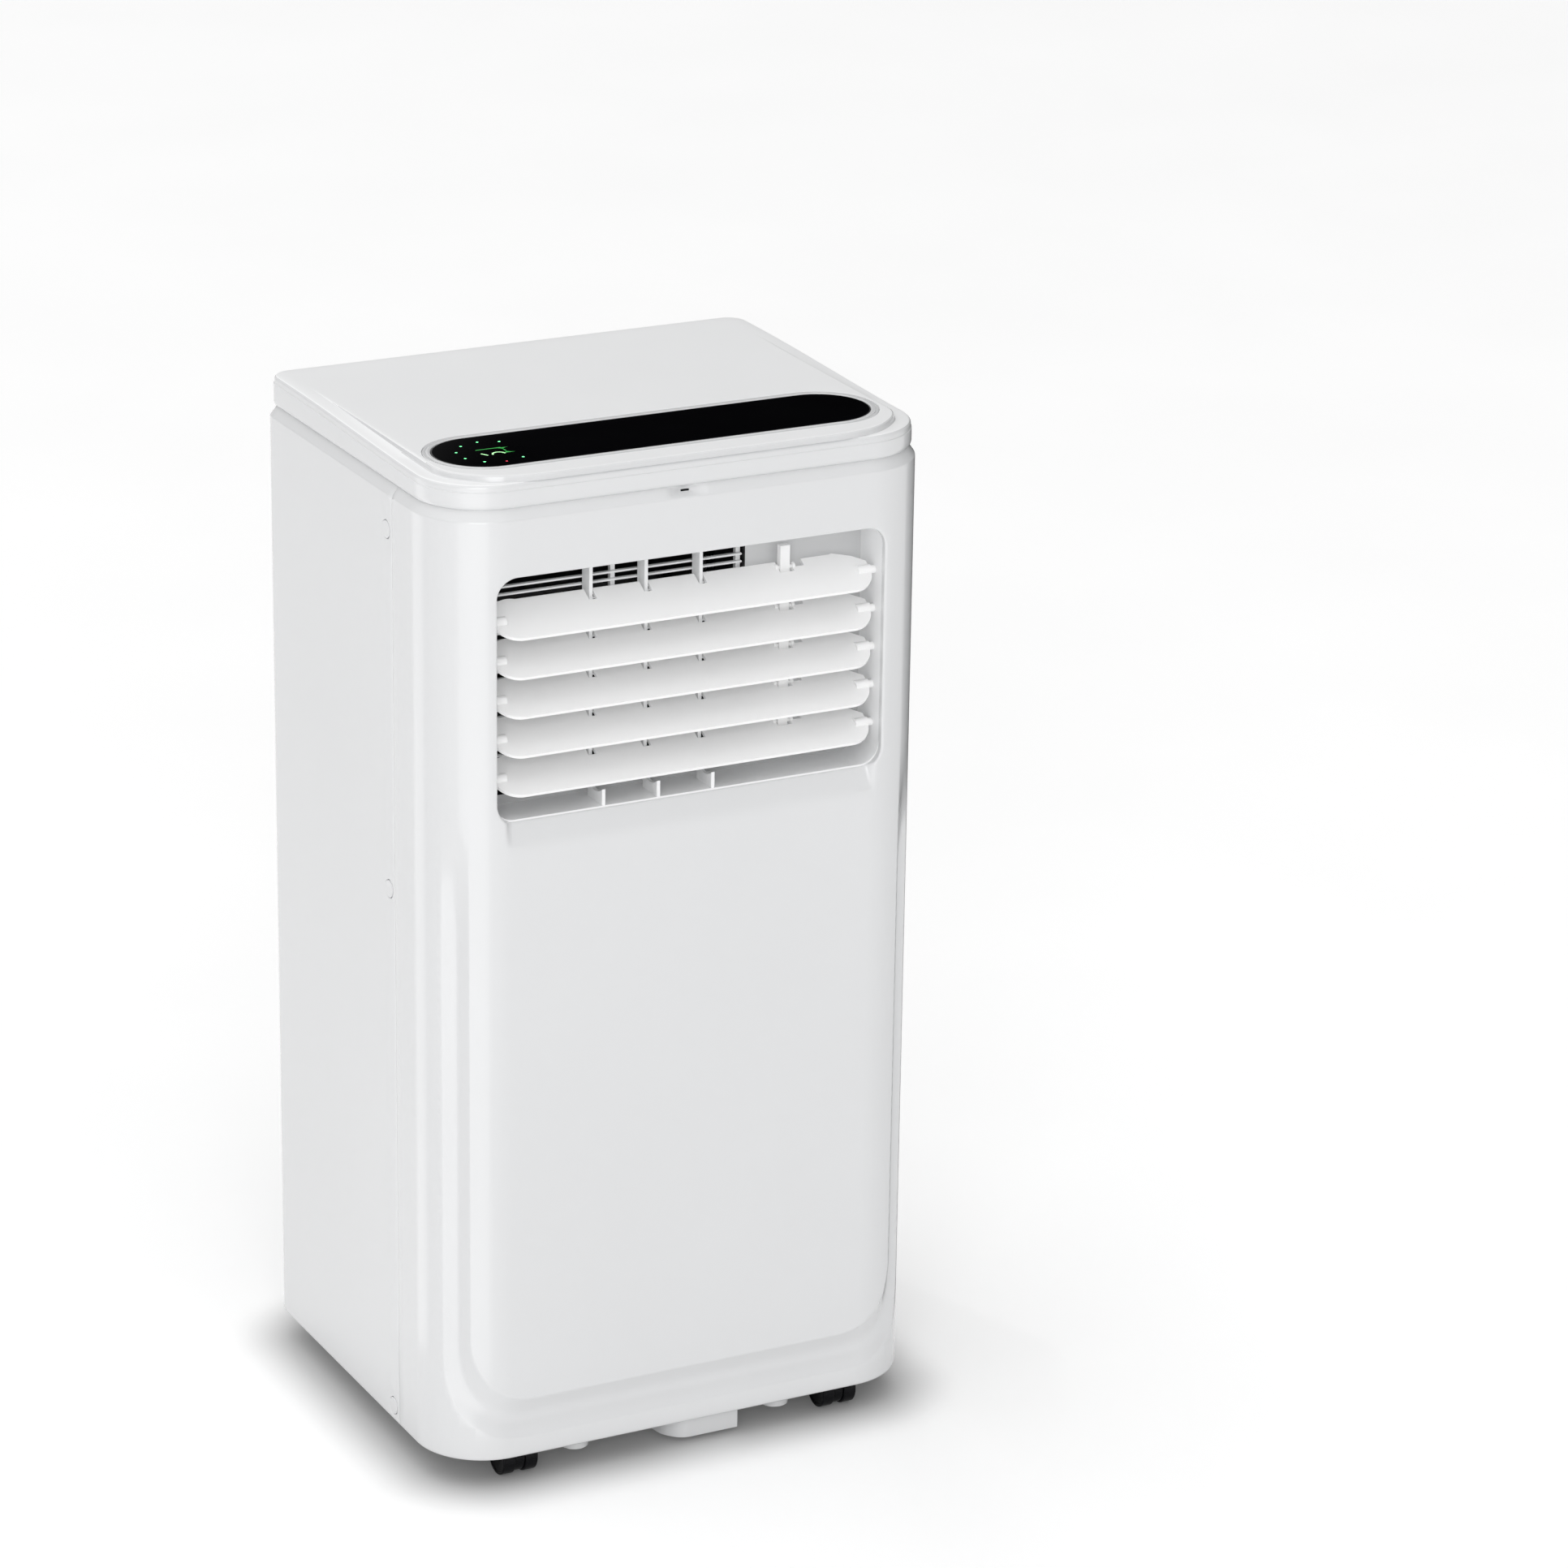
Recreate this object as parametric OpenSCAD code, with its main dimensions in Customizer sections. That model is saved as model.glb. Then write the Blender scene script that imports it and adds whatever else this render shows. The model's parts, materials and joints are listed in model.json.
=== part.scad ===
// Compact portable air conditioner, millimetres, +Z up, front faces -Y, floor at Z = 0.

/* [Cabinet] */
// Cabinet width
body_w = 330; // [300:1:360]
// Cabinet front face, behind the origin's plane
front_y = -140; // [-150:1:-130]
// Cabinet rear face
rear_y = 132; // [120:1:140]
// Height of the cabinet's open bottom edge over the floor
bottom_z = 18; // [17:1:24]
// Height of the shoulder where the lid groove starts
shoulder_z = 624; // [600:1:640]
// Height of the flat top
top_z = 649.3; // [640:0.1:660]
// Radius of the two front corners
front_r = 45; // [35:1:50]
// Radius of the two rear corners
rear_r = 16; // [10:1:22]
// Wall of the moulded covers
wall = 3; // [2:0.5:4]
// Line where the front cover meets the rear cover
seam_y = -68; // [-80:1:-50]
// Gap kept between two covers
gap = 0.3; // [0.2:0.05:0.5]

/* [Front groove] */
// Depth of the U groove
groove_d = 4.5; // [3:0.5:6]
// Half width over the groove's outer lines
groove_out = 157.7; // [150:0.1:160]
// Half width over the groove's inner lines
groove_in = 145.2; // [135:0.1:148]
// Height of the groove's lower line
groove_z0 = 31; // [28:0.5:36]
// Height of the groove's upper line
groove_z1 = 56.5; // [50:0.5:62]
// Height at which the two legs end
groove_top = 430; // [380:1:460]

/* [Air outlet] */
// Half width of the outlet opening
outlet_hw = 129; // [120:1:132]
// Lower edge of the outlet opening
outlet_z0 = 436; // [425:1:445]
// Upper edge of the outlet opening
outlet_z1 = 588.5; // [580:0.5:595]
// Corner radius of the outlet opening
outlet_r = 13; // [8:1:18]
// Front of the wall behind the blades
back_plate_y = -106; // [-110:1:-100]
// Left edge of the duct window
window_x0 = -126; // [-128:1:-110]
// Right edge of the duct window
window_x1 = 50; // [40:1:60]
// Number of blades
blade_n = 5; // [5:1:5]
// Distance between neighbouring blades
blade_pitch = 24.5; // [22:0.1:27]
// Height of the top blade's pivot
blade_z1 = 556.9; // [550:0.1:562]
// Pivot line of the blades
pivot_y = -123.6; // [-126:0.1:-121]
// Blade width from front edge to back edge
chord = 31; // [28:0.5:32]
// Blade thickness
blade_t = 2.2; // [1.8:0.1:2.6]
// Blade slope as stored, front edge down
blade_tilt = 30; // [0:1:45]
// Radius of the blade's pivot stubs
stub_r = 2.5; // [2:0.1:3]
// Distance of the link pins from the pivots
link_arm = 11.5; // [10:0.5:12]
// Centre of the link bar across the width
link_x = 72.2; // [70:0.1:75]

/* [Lid and display] */
// Inset of the lid's side from the cabinet side
lid_inset = 2.3; // [1.5:0.1:3.5]
// Height of the fine step round the plateau
step_h = 3.5; // [2:0.1:4]
// Display centre line
display_y = -81.6; // [-90:0.1:-75]
// Half distance between the display's round ends
display_hx = 112; // [100:1:115]
// Radius of the display's round ends
display_r = 31; // [28:0.5:33]
// Width of the ring round the display
bezel_w = 5; // [3:0.5:6]

/* [Casters] */
// Caster centre across the width
caster_x = 111.5; // [100:0.5:115]
// Swivel axis of the front casters
caster_front_y = -114.5; // [-116:0.5:-105]
// Swivel axis of the rear casters
caster_rear_y = 96; // [80:1:100]
// Wheel radius
wheel_r = 12; // [10:0.5:12]
// Distance of the axle from the swivel axis
trail = 7; // [5:0.5:8]

/* [Rear] */
// Exhaust centre across the width
exhaust_x = 65; // [50:1:75]
// Exhaust centre height
exhaust_z = 330; // [320:1:335]
// Bore that takes the hose's end
exhaust_r = 62; // [55:1:66]
// Half width of the upper intake
upper_hw = 125; // [100:1:130]
// Lower edge of the upper intake
upper_z0 = 408; // [405:1:420]
// Upper edge of the upper intake
upper_z1 = 560; // [540:1:562]
// Half width of the lower intake
lower_hw = 135; // [120:1:140]
// Lower edge of the lower intake
lower_z0 = 56; // [52:1:60]
// Upper edge of the lower intake
lower_z1 = 246; // [230:1:250]

/* [Hidden] */
$fn = 96;
half_w = body_w / 2;
eps = 0.01;
far = 400;
running = 0.05;
blade_end_x = 126;
outlet_wall = 3;
stub_end_x = outlet_hw + outlet_wall - 0.5;
rib_xs = [-57, -20.5, 16];
rib_t = 2.2;
rib_front_y = -115;
rear_in_y = rear_y - wall;
grille_y0 = rear_y - 5;
deck_z = 396;
rim_inset = 8;
foot_reach = 58.5;
foot_angles = [90, 210, 330];
splash_x = -38;
splash_y = 78;
splash_z = 44;
screw_x = 150;
rear_screw_zs = [45, 270, 380];
cap_x = 20;
cap_y = -96;
lights_x = -107;
lights_y = -83.5;
evap_y0 = 88;
coil_depth = 26;
cond_z0 = 54;
cond_z1 = 250;
evap_z0 = 408;
evap_z1 = 560;
blower_y = 12;
blower_z = 484;
blower_r = 56;
scroll_r = 70;
scroll_x0 = -122;
scroll_x1 = 46;
cond_fan_x = 52;
cond_fan_z = 165;
cond_fan_r = 62;
cond_scroll_r = 84;
comp_x = -92;
comp_y = -38;
comp_r = 52;
comp_z0 = 54;
comp_z1 = 262;
pipe_r = 4;
bend_r = 14;
screw_zs = [28, 374, 602];
screw_y = -59;

WHITE = [0.93, 0.935, 0.94];
PALE = [0.86, 0.87, 0.88];
DARK = [0.06, 0.06, 0.07];
GREY = [0.45, 0.46, 0.48];
METAL = [0.75, 0.76, 0.78];
COPPER = [0.72, 0.42, 0.26];
GREEN = [0.1, 0.75, 0.35];

// Plan outline of the cabinet, moved in by d.
module outline(d) {
  hw = half_w - d;
  rf = front_r - d;
  rr = max(rear_r - d, 1);
  y0 = front_y + d;
  y1 = rear_y - d;
  translate([-hw, y0 + rf]) square([2 * hw, y1 - rr - y0 - rf]);
  translate([-hw + rf, y0]) square([2 * (hw - rf), rf + 1]);
  translate([-hw + rr, y1 - rr - 1]) square([2 * (hw - rr), rr + 1]);
  for (s = [-1, 1]) {
    translate([s * (hw - rf), y0 + rf]) circle(rf);
    translate([s * (hw - rr), y1 - rr]) circle(rr);
  }
}

module prism(d, z0, z1) {
  translate([0, 0, z0]) linear_extrude(z1 - z0) outline(d);
}

module ring(d0, d1, z0, z1) {
  difference() {
    prism(d0, z0, z1);
    prism(d1, z0 - 1, z1 + 1);
  }
}

// A rounded rectangle from (x0, y0) to (x1, y1).
module rounded(x0, y0, x1, y1, r) {
  translate([x0 + r, y0]) square([x1 - x0 - 2 * r, y1 - y0]);
  translate([x0, y0 + r]) square([x1 - x0, y1 - y0 - 2 * r]);
  for (x = [x0 + r, x1 - r]) {
    for (y = [y0 + r, y1 - r]) {
      translate([x, y]) circle(r);
    }
  }
}

// Turns a drawing in X and Z into a slab from y0 to y1.
module slab(y0, y1) {
  translate([0, y1, 0]) rotate([90, 0, 0]) linear_extrude(y1 - y0) children();
}

// Turns a drawing in Y and Z into a slab from x0 to x1.
module side_slab(x0, x1) {
  translate([x0, 0, 0]) rotate([90, 0, 90]) linear_extrude(x1 - x0) children();
}

module box(p0, p1) {
  translate(p0) cube([p1[0] - p0[0], p1[1] - p0[1], p1[2] - p0[2]]);
}

module rod_x(x0, x1, y, z, r) {
  translate([x0, y, z]) rotate([0, 90, 0]) cylinder(h = x1 - x0, r = r);
}

module rod_y(y0, y1, x, z, r) {
  translate([x, y0, z]) rotate([-90, 0, 0]) cylinder(h = y1 - y0, r = r);
}

module rod_z(z0, z1, x, y, r) {
  translate([x, y, z0]) cylinder(h = z1 - z0, r = r);
}

module groove_band(grow) {
  difference() {
    rounded(-groove_out - grow, groove_z0 - grow, groove_out + grow, groove_top + grow, 30);
    rounded(-groove_in + grow, groove_z1 + grow, groove_in - grow, groove_top + 60, 22);
  }
}

module screw_tabs() {
  for (s = [-1, 1]) {
    for (i = [1, 2]) {
      z = screw_zs[i];
      difference() {
        union() {
          box([s * 159 - 3, -82, z - 8], [s * 159 + 2.7, screw_y + 8, z + 8]);
          box([s * 159 - 3.4, -82, z - 8], [s * 159 + 3.4, seam_y - 2, z + 8]);
        }
        rod_x(s * 159 - 8, s * 159 + 8, screw_y, z, 2.1);
      }
    }
  }
}

module front_cover() {
  color(WHITE) {
    difference() {
      union() {
        ring(0, wall, bottom_z, shoulder_z);
        intersection() {
          ring(1, groove_d + wall, bottom_z, shoulder_z);
          slab(front_y, seam_y) groove_band(wall);
        }
      }
      box([-far, seam_y, 0], [far, far, 2 * far]);
      difference() {
        slab(front_y - 1, seam_y + 1) groove_band(0);
        prism(groove_d, 0, 2 * far);
      }
      slab(front_y - 1, front_y + wall + 6)
        rounded(-outlet_hw, outlet_z0, outlet_hw, outlet_z1, outlet_r);
    }
    screw_tabs();
  }
}

module rear_openings() {
  slab(rear_y - wall - 2, rear_y + 1) {
    rounded(-upper_hw, upper_z0, upper_hw, upper_z1, 8);
  }
  slab(rear_y - wall - 2, rear_y + 1) {
    rounded(-lower_hw, lower_z0, lower_hw, lower_z1, 8);
  }
  rod_y(rear_y - wall - 2, rear_y + 1, exhaust_x, exhaust_z, exhaust_r + 3.3);
  slab(rear_y - wall - 2, rear_y + 1) rounded(-60, 574, 60, 608, 8);
  rod_y(rear_y - wall - 2, rear_y + 1, -110, 330, 8.5);
  rod_y(rear_y - wall - 2, rear_y + 1, -70, 36, 8.5);
  rod_y(rear_y - wall - 2, rear_y + 1, 135, 38, 9);
}

// Hand grip: a pocket that goes in from the rear face, with a lip that the fingers go up behind.
module grip_pocket() {
  difference() {
    slab(rear_y - 30, rear_y - 1) rounded(-63, 571, 63, 611, 10);
    slab(rear_y - 27, rear_y + 1) rounded(-60, 574, 60, 608, 8);
  }
}

module rear_cover() {
  color(WHITE) {
    difference() {
      union() {
        difference() {
          ring(0, wall, bottom_z, shoulder_z);
          box([-far, -far, 0], [far, seam_y + gap, 2 * far]);
        }
        grip_pocket();
      }
      rear_openings();
      for (s = [-1, 1]) {
        for (z = screw_zs) {
          rod_x(s * half_w - 1.5, s * half_w + 1.5, screw_y, z, 5.6);
          rod_x(s * half_w - 8, s * half_w + 8, screw_y, z, 2.2);
        }
      }
      for (s = [-1, 1]) {
        for (z = rear_screw_zs) {
          rod_y(rear_y - wall - 2, rear_y + 1, s * screw_x, z, 2.2);
        }
      }
    }
  }
}

module seam_screws() {
  color(WHITE) {
    for (s = [-1, 1]) {
      for (z = screw_zs) {
        rod_x(s * (half_w - 0.6) - 0.8, s * (half_w - 0.6) + 0.8, screw_y, z, 5.4);
        rod_x(s * (half_w - 6.5) - 5.5, s * (half_w - 6.5) + 5.5, screw_y, z, 1.95);
      }
    }
  }
}

module rear_screws() {
  color(METAL) {
    for (s = [-1, 1]) {
      for (z = rear_screw_zs) {
        difference() {
          rod_y(rear_y + 0.1, rear_y + 2.4, s * screw_x, z, 4);
          box([s * screw_x - 0.5, rear_y + 1.4, z - 2.6], [s * screw_x + 0.5, rear_y + 3, z + 2.6]);
          box([s * screw_x - 2.6, rear_y + 1.4, z - 0.5], [s * screw_x + 2.6, rear_y + 3, z + 0.5]);
        }
        rod_y(rear_y - 11, rear_y + 0.2, s * screw_x, z, 1.9);
      }
    }
  }
}

module pan_at_casters(z0, z1, r) {
  for (s = [-1, 1]) {
    for (y = [caster_front_y, caster_rear_y]) {
      rod_z(z0, z1, s * caster_x, y, r);
    }
  }
}

module base_pan() {
  color(PALE) {
    difference() {
      union() {
        intersection() {
          union() {
            prism(wall + gap, bottom_z, 27);
            prism(rim_inset, bottom_z, 60);
          }
          union() {
            prism(wall + gap, bottom_z, bottom_z + 3);
            pan_at_casters(bottom_z, 30.5, 25);
          }
        }
        ring(rim_inset, rim_inset + 2.5, bottom_z, 48);
        pan_at_casters(28, 50, 9);
        for (s = [-1, 1]) {
          box([s * 157 - 4, screw_y - 7, bottom_z], [s * 157 + 4, screw_y + 7, 42]);
          rod_z(10, bottom_z + 1, s * 70, -122, 9);
        }
        for (s = [-1, 1]) {
          box([s * screw_x - 6, rear_in_y - 14, bottom_z], [s * screw_x + 6, rear_in_y - 2, 52]);
        }
      }
      pan_at_casters(0, 27.5, 22.5);
      pan_at_casters(20, 60, 5 + running);
      for (s = [-1, 1]) {
        rod_x(s * 157 - 8, s * 157 + 8, screw_y, screw_zs[0], 2.1);
        rod_y(rear_in_y - 15, rear_in_y + 1, s * screw_x, 45, 2.1);
      }
      box([10, -131, bottom_z - 1], [35, -90, bottom_z + 4]);
      rod_y(rear_in_y - 12, rear_in_y + 1, -70, 36, 7);
      rod_y(rear_in_y - 12, rear_in_y + 1, 135, 38, 8.8);
    }
  }
}

// Plan of the drain well: a flat front and a left side that sweeps back in an arc.
module well_plan() {
  sweep = [for (t = [0:15:75]) [4.6 - 19 * sin(t / 1.5), -134 + 16 * (1 - cos(t))]];
  polygon(concat([[38.4, -134]], sweep, [[-12, -113], [-12, -87], [38.4, -87]]));
}

// Drain well under the pan.
module drain_well() {
  color(WHITE) {
    difference() {
      translate([0, 0, 3.5]) linear_extrude(bottom_z - 0.1 - 3.5) well_plan();
      box([7, -131, 6.5], [35, -90, bottom_z]);
    }
  }
}

module top_lid() {
  color(WHITE) {
    difference() {
      union() {
        ring(wall + gap, wall + 2.7, shoulder_z - 12, shoulder_z + 2);
        prism(4.8, shoulder_z + 0.2, 631.5);
        prism(lid_inset, 631, top_z - step_h);
        plateau();
      }
      prism(wall + 2.8, shoulder_z - 13, 643);
      slab_top(display_r + bezel_w + 0.2);
      box([-14, front_y - 1, 624.5], [4, front_y + 9, 630.5]);
    }
  }
}

module plateau() {
  translate([0, 0, top_z - step_h - 0.5]) linear_extrude(step_h + 0.5) {
    x = half_w - lid_inset - 12;
    rounded(-x, front_y + lid_inset + 1.5, x, rear_y - lid_inset - 1, 24);
  }
}

// Cut for the display: a stadium through the lid's skin.
module slab_top(r) {
  translate([0, 0, 640]) linear_extrude(12) stadium(r);
}

module stadium(r) {
  translate([-display_hx, display_y - r]) square([2 * display_hx, 2 * r]);
  for (s = [-1, 1]) {
    translate([s * display_hx, display_y]) circle(r);
  }
}

module display_bezel() {
  color(PALE) {
    difference() {
      translate([0, 0, 641]) linear_extrude(top_z + 0.3 - 641) stadium(display_r + bezel_w);
      translate([0, 0, 640]) linear_extrude(12) stadium(display_r - 2);
      translate([0, 0, 645.5]) linear_extrude(6) stadium(display_r + 0.1);
      translate([0, 0, top_z - 0.5]) linear_extrude(3) {
        difference() {
          stadium(display_r + 3);
          stadium(display_r + 2.2);
        }
      }
    }
  }
}

module display_glass() {
  color(DARK) {
    difference() {
      translate([0, 0, 645.6]) linear_extrude(top_z - 645.6) stadium(display_r);
      translate([0, 0, top_z - 0.6]) linear_extrude(2) light_marks(0.1);
    }
  }
}

// A ring of round lights about a lit readout: a corner line, a short stroke and a half ring.
module light_marks(grow) {
  translate([lights_x, lights_y]) {
    for (i = [0:7]) {
      rotate(54 + 36 * i) translate([21.2, 0]) circle(0.85 + grow, $fn = 24);
    }
    translate([0.2, 6]) bar(16.4 + grow, 0.8 + grow);
    translate([8.4, 0.2]) bar(0.8 + grow, 10.4 + grow);
    translate([-6.5, -3.8]) rotate(-59) bar(5.4 + grow, 1.1 + grow);
    translate([2, -6]) half_ring(4.4 + grow / 2, 3.3 - grow / 2);
  }
}

module bar(w, h) {
  square([w, h], center = true);
}

module half_ring(r1, r0) {
  difference() {
    circle(r1, $fn = 48);
    circle(r0, $fn = 48);
    translate([-9, -18]) square([18, 18]);
  }
}

module display_lights() {
  color(GREEN) {
    translate([0, 0, top_z - 0.5]) linear_extrude(0.45) light_marks(0);
  }
}

module display_board() {
  color([0.05, 0.35, 0.2]) {
    difference() {
      box([-110, -108, 632], [110, -58, 633.6]);
      rod_z(630, 636, -104, -102, 1.6);
      rod_z(630, 636, 104, -102, 1.6);
      rod_z(630, 636, -104, -64, 1.6);
      rod_z(630, 636, 104, -64, 1.6);
    }
    for (x = [-96:12:96]) {
      box([x - 2, -84, 633.5], [x + 2, -80, 635.5]);
    }
    box([-20, -76, 633.5], [4, -62, 636.5]);
    box([30, -74, 633.5], [44, -66, 639]);
  }
}

module remote_receiver() {
  color(DARK) {
    box([-10, front_y + 9.2, 625], [0, front_y + 14, 630]);
    box([-8, front_y + 7, 625.6], [-2, front_y + 9.3, 629.4]);
  }
}

module window_shape(grow) {
  rounded(window_x0 - grow, 442 - grow, window_x1 + grow, 584 + grow, 6);
}

module outlet_frame() {
  color(WHITE) {
    difference() {
      union() {
        difference() {
          slab(front_y + 6, back_plate_y + 3)
            rounded(-outlet_hw - outlet_wall, outlet_z0 - 3, outlet_hw + outlet_wall, outlet_z1 + 3, 16);
          slab(front_y, back_plate_y)
            rounded(-outlet_hw, outlet_z0, outlet_hw, outlet_z1, outlet_r);
        }
        slab(back_plate_y + 2, -64) window_shape(3);
      }
      slab(back_plate_y - 1, -60) window_shape(0);
      for (i = [0:blade_n - 1]) {
        z = blade_z1 - i * blade_pitch;
        rod_x(-outlet_hw - 5, -outlet_hw + 1, pivot_y, z, stub_r + running);
        rod_x(outlet_hw - 1, outlet_hw + 5, pivot_y, z, stub_r + running);
      }
    }
    for (x = rib_xs) {
      box([x - rib_t / 2, rib_front_y, 441], [x + rib_t / 2, back_plate_y + 1, 585]);
      difference() {
        box([x - rib_t / 2, front_y + 6.2, outlet_z0 - 1], [x + rib_t / 2, rib_front_y + 1, 448]);
        rod_x(x - rib_t, x + rib_t, pivot_y, blade_z1 - (blade_n - 1) * blade_pitch, chord / 2 + 0.8);
      }
    }
  }
}

module blade_plan() {
  difference() {
    union() {
      translate([-blade_end_x, -chord / 2 + 16]) square([2 * blade_end_x, chord - 16]);
      translate([-blade_end_x + 16, -chord / 2]) square([2 * blade_end_x - 32, 17]);
      for (s = [-1, 1]) {
        translate([s * (blade_end_x - 16), -chord / 2 + 16]) circle(16);
      }
    }
    for (x = rib_xs) {
      translate([x - 2.6, 7]) square([5.2, 12]);
    }
    translate([link_x - 4.4, 6.7]) square([9.6, 12]);
    translate([link_x + 5, 10]) square([8, 8]);
    polygon([[104, 17], [127, 17], [127, 6], [118, 12]]);
    polygon([[-127, 17], [-122, 17], [-127, 12]]);
  }
}

module louvre(n) {
  z = blade_z1 - (n - 1) * blade_pitch;
  right_end = n == 3 ? 138 : stub_end_x;
  color(WHITE) {
    translate([0, pivot_y, z]) rotate([blade_tilt, 0, 0]) {
      translate([0, 0, -blade_t / 2]) linear_extrude(blade_t) blade_plan();
      rod_x(-blade_end_x, -blade_end_x + 9, 0, 0, 3.4);
      rod_x(blade_end_x - 9, blade_end_x, 0, 0, 3.4);
      rod_x(-stub_end_x, -blade_end_x + 1, 0, 0, stub_r);
      rod_x(blade_end_x - 1, right_end, 0, 0, stub_r);
      rod_x(link_x - 6, link_x + 7, link_arm, 0, 1.3);
      for (x = [link_x - 6.4, link_x + 5.2]) {
        side_slab(x, x + 1.8) {
          translate([4.5, -blade_t / 2]) square([link_arm - 4, blade_t]);
          translate([link_arm, 0]) circle(2.4);
        }
      }
    }
  }
}

module louvre_1() { louvre(1); }
module louvre_2() { louvre(2); }
module louvre_3() { louvre(3); }
module louvre_4() { louvre(4); }
module louvre_5() { louvre(5); }

module louvre_link() {
  y = pivot_y + link_arm * cos(blade_tilt);
  dz = link_arm * sin(blade_tilt);
  z_low = blade_z1 - (blade_n - 1) * blade_pitch + dz;
  color(WHITE) {
    difference() {
      box([link_x - 3.2, y - 2.2, z_low - 4], [link_x + 3.2, y + 2.2, blade_z1 + dz + 14.3]);
      for (i = [0:blade_n - 1]) {
        rod_x(link_x - 8, link_x + 8, y, z_low + i * blade_pitch, 1.3 + running);
      }
    }
  }
}

module outlet_guard() {
  color(WHITE) {
    for (i = [0:25]) {
      z = 451.5 + 4.8 * i;
      box([window_x0 + 1.2, back_plate_y + 1.8, z - 0.6], [window_x1 - 1.2, back_plate_y + 4.6, z + 0.6]);
    }
    for (x = [window_x0 + 1.2, -38, window_x1 - 4.2]) {
      box([x, back_plate_y + 4.2, 447], [x + 3, back_plate_y + 7.6, 580]);
    }
  }
}

module swing_motor() {
  z = blade_z1 - 2 * blade_pitch;
  color(METAL) {
    difference() {
      union() {
        rod_x(132.3, 140.3, pivot_y, z, 7.5);
        box([132.3, pivot_y + 2, z - 6], [137.5, pivot_y + 18, z + 6]);
      }
      rod_x(131, 138.6, pivot_y, z, stub_r + running);
      rod_x(131, 138.6, pivot_y + 14, z, 1.6);
    }
  }
}

module caster_fork(x, y) {
  color(DARK) {
    difference() {
      union() {
        translate([x, y, 0]) side_slab(-3, 3) {
          translate([-trail, wheel_r]) circle(wheel_r - 1.2);
          translate([-trail - 1, wheel_r]) square([trail + 6, 12.6]);
        }
        rod_z(24.4, 27.1, x, y, 10);
        rod_z(27, 49, x, y, 5);
      }
      rod_x(x - 5, x + 5, y - trail, wheel_r, 2 + running);
    }
  }
}

module caster_fork_fl() { caster_fork(-caster_x, caster_front_y); }
module caster_fork_fr() { caster_fork(caster_x, caster_front_y); }
module caster_fork_rl() { caster_fork(-caster_x, caster_rear_y); }
module caster_fork_rr() { caster_fork(caster_x, caster_rear_y); }

module caster_wheels(x, y) {
  color(DARK) {
    translate([x, y - trail, wheel_r]) rotate([0, 90, 0]) {
      for (s = [0, 1]) {
        rotate([180 * s, 0, 0]) rotate_extrude() {
          polygon([[0, 3.3], [wheel_r - 0.5, 3.3], [wheel_r, 3.8], [wheel_r, 11.2], [wheel_r - 0.5, 11.7],
            [wheel_r - 1.5, 11.7], [wheel_r - 2.2, 10.6], [4, 9.8], [3.2, 10.6], [0, 10.8]]);
        }
      }
      translate([0, 0, -4]) cylinder(h = 8, r = 2);
    }
  }
}

module caster_wheels_fl() { caster_wheels(-caster_x, caster_front_y); }
module caster_wheels_fr() { caster_wheels(caster_x, caster_front_y); }
module caster_wheels_rl() { caster_wheels(-caster_x, caster_rear_y); }
module caster_wheels_rr() { caster_wheels(caster_x, caster_rear_y); }

// Intake grille: a framed panel of level bars with upright stiffeners.
module grille(hw, z0, z1, pitch) {
  difference() {
    slab(grille_y0, rear_y - 0.2) rounded(-hw + gap, z0 + gap, hw - gap, z1 - gap, 8);
    for (z = [z0 + 12:pitch:z1 - 14]) {
      box([-hw + 10, grille_y0 - 1, z], [hw - 10, rear_y + 1, z + pitch - 3]);
    }
  }
  for (x = [-hw / 2, 0, hw / 2]) {
    box([x - 1.5, grille_y0 + 0.5, z0 + 6], [x + 1.5, grille_y0 + 3, z1 - 6]);
  }
}

module filter_net(hw, z0, z1) {
  difference() {
    box([-hw, grille_y0 - 3, z0], [hw, grille_y0 - 0.2, z1]);
    for (x = [-hw + 5:(2 * hw - 6) / 6:hw - 10]) {
      for (z = [z0 + 5:(z1 - z0 - 6) / 4:z1 - 10]) {
        box([x, grille_y0 - 4, z], [x + (2 * hw - 6) / 6 - 4, grille_y0 - 1, z + (z1 - z0 - 6) / 4 - 4]);
      }
    }
  }
}

module upper_grille() {
  color(WHITE) grille(upper_hw, upper_z0, upper_z1, 11);
}

module lower_grille() {
  color(WHITE) grille(lower_hw, lower_z0, lower_z1, 11);
}

module upper_filter() {
  color(GREY) filter_net(upper_hw - 3, upper_z0 + 3, upper_z1 - 3);
}

module lower_filter() {
  color(GREY) filter_net(lower_hw - 3, lower_z0 + 3, lower_z1 - 3);
}

module exhaust_collar() {
  color(PALE) {
    difference() {
      union() {
        rod_y(rear_y - 3, 140, exhaust_x, exhaust_z, exhaust_r + 3);
        rod_y(rear_y + 0.3, rear_y + 3, exhaust_x, exhaust_z, exhaust_r + 8);
      }
      rod_y(rear_y - 5, 142, exhaust_x, exhaust_z, exhaust_r);
    }
  }
}

module exhaust_duct() {
  color(GREY) {
    difference() {
      box([-6, 22, 252], [136, 128.8, 393]);
      box([-3, 25, 255], [133, 125.8, 390]);
      rod_y(120, 130, exhaust_x, exhaust_z, exhaust_r + 1);
      box([72, 32, 250], [128, 74, 260]);
    }
  }
}

module drain_plug(x, z) {
  rod_y(rear_y - 10, rear_y + 0.5, x, z, 6);
  rod_y(rear_y + 0.3, rear_y + 3.3, x, z, 11);
  box([x - 7, rear_y + 3.2, z - 1.5], [x + 7, rear_y + 7, z + 1.5]);
}

module upper_drain_plug() {
  color(DARK) drain_plug(-110, 330);
}

module lower_drain_plug() {
  color(DARK) drain_plug(-70, 36);
}

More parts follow.
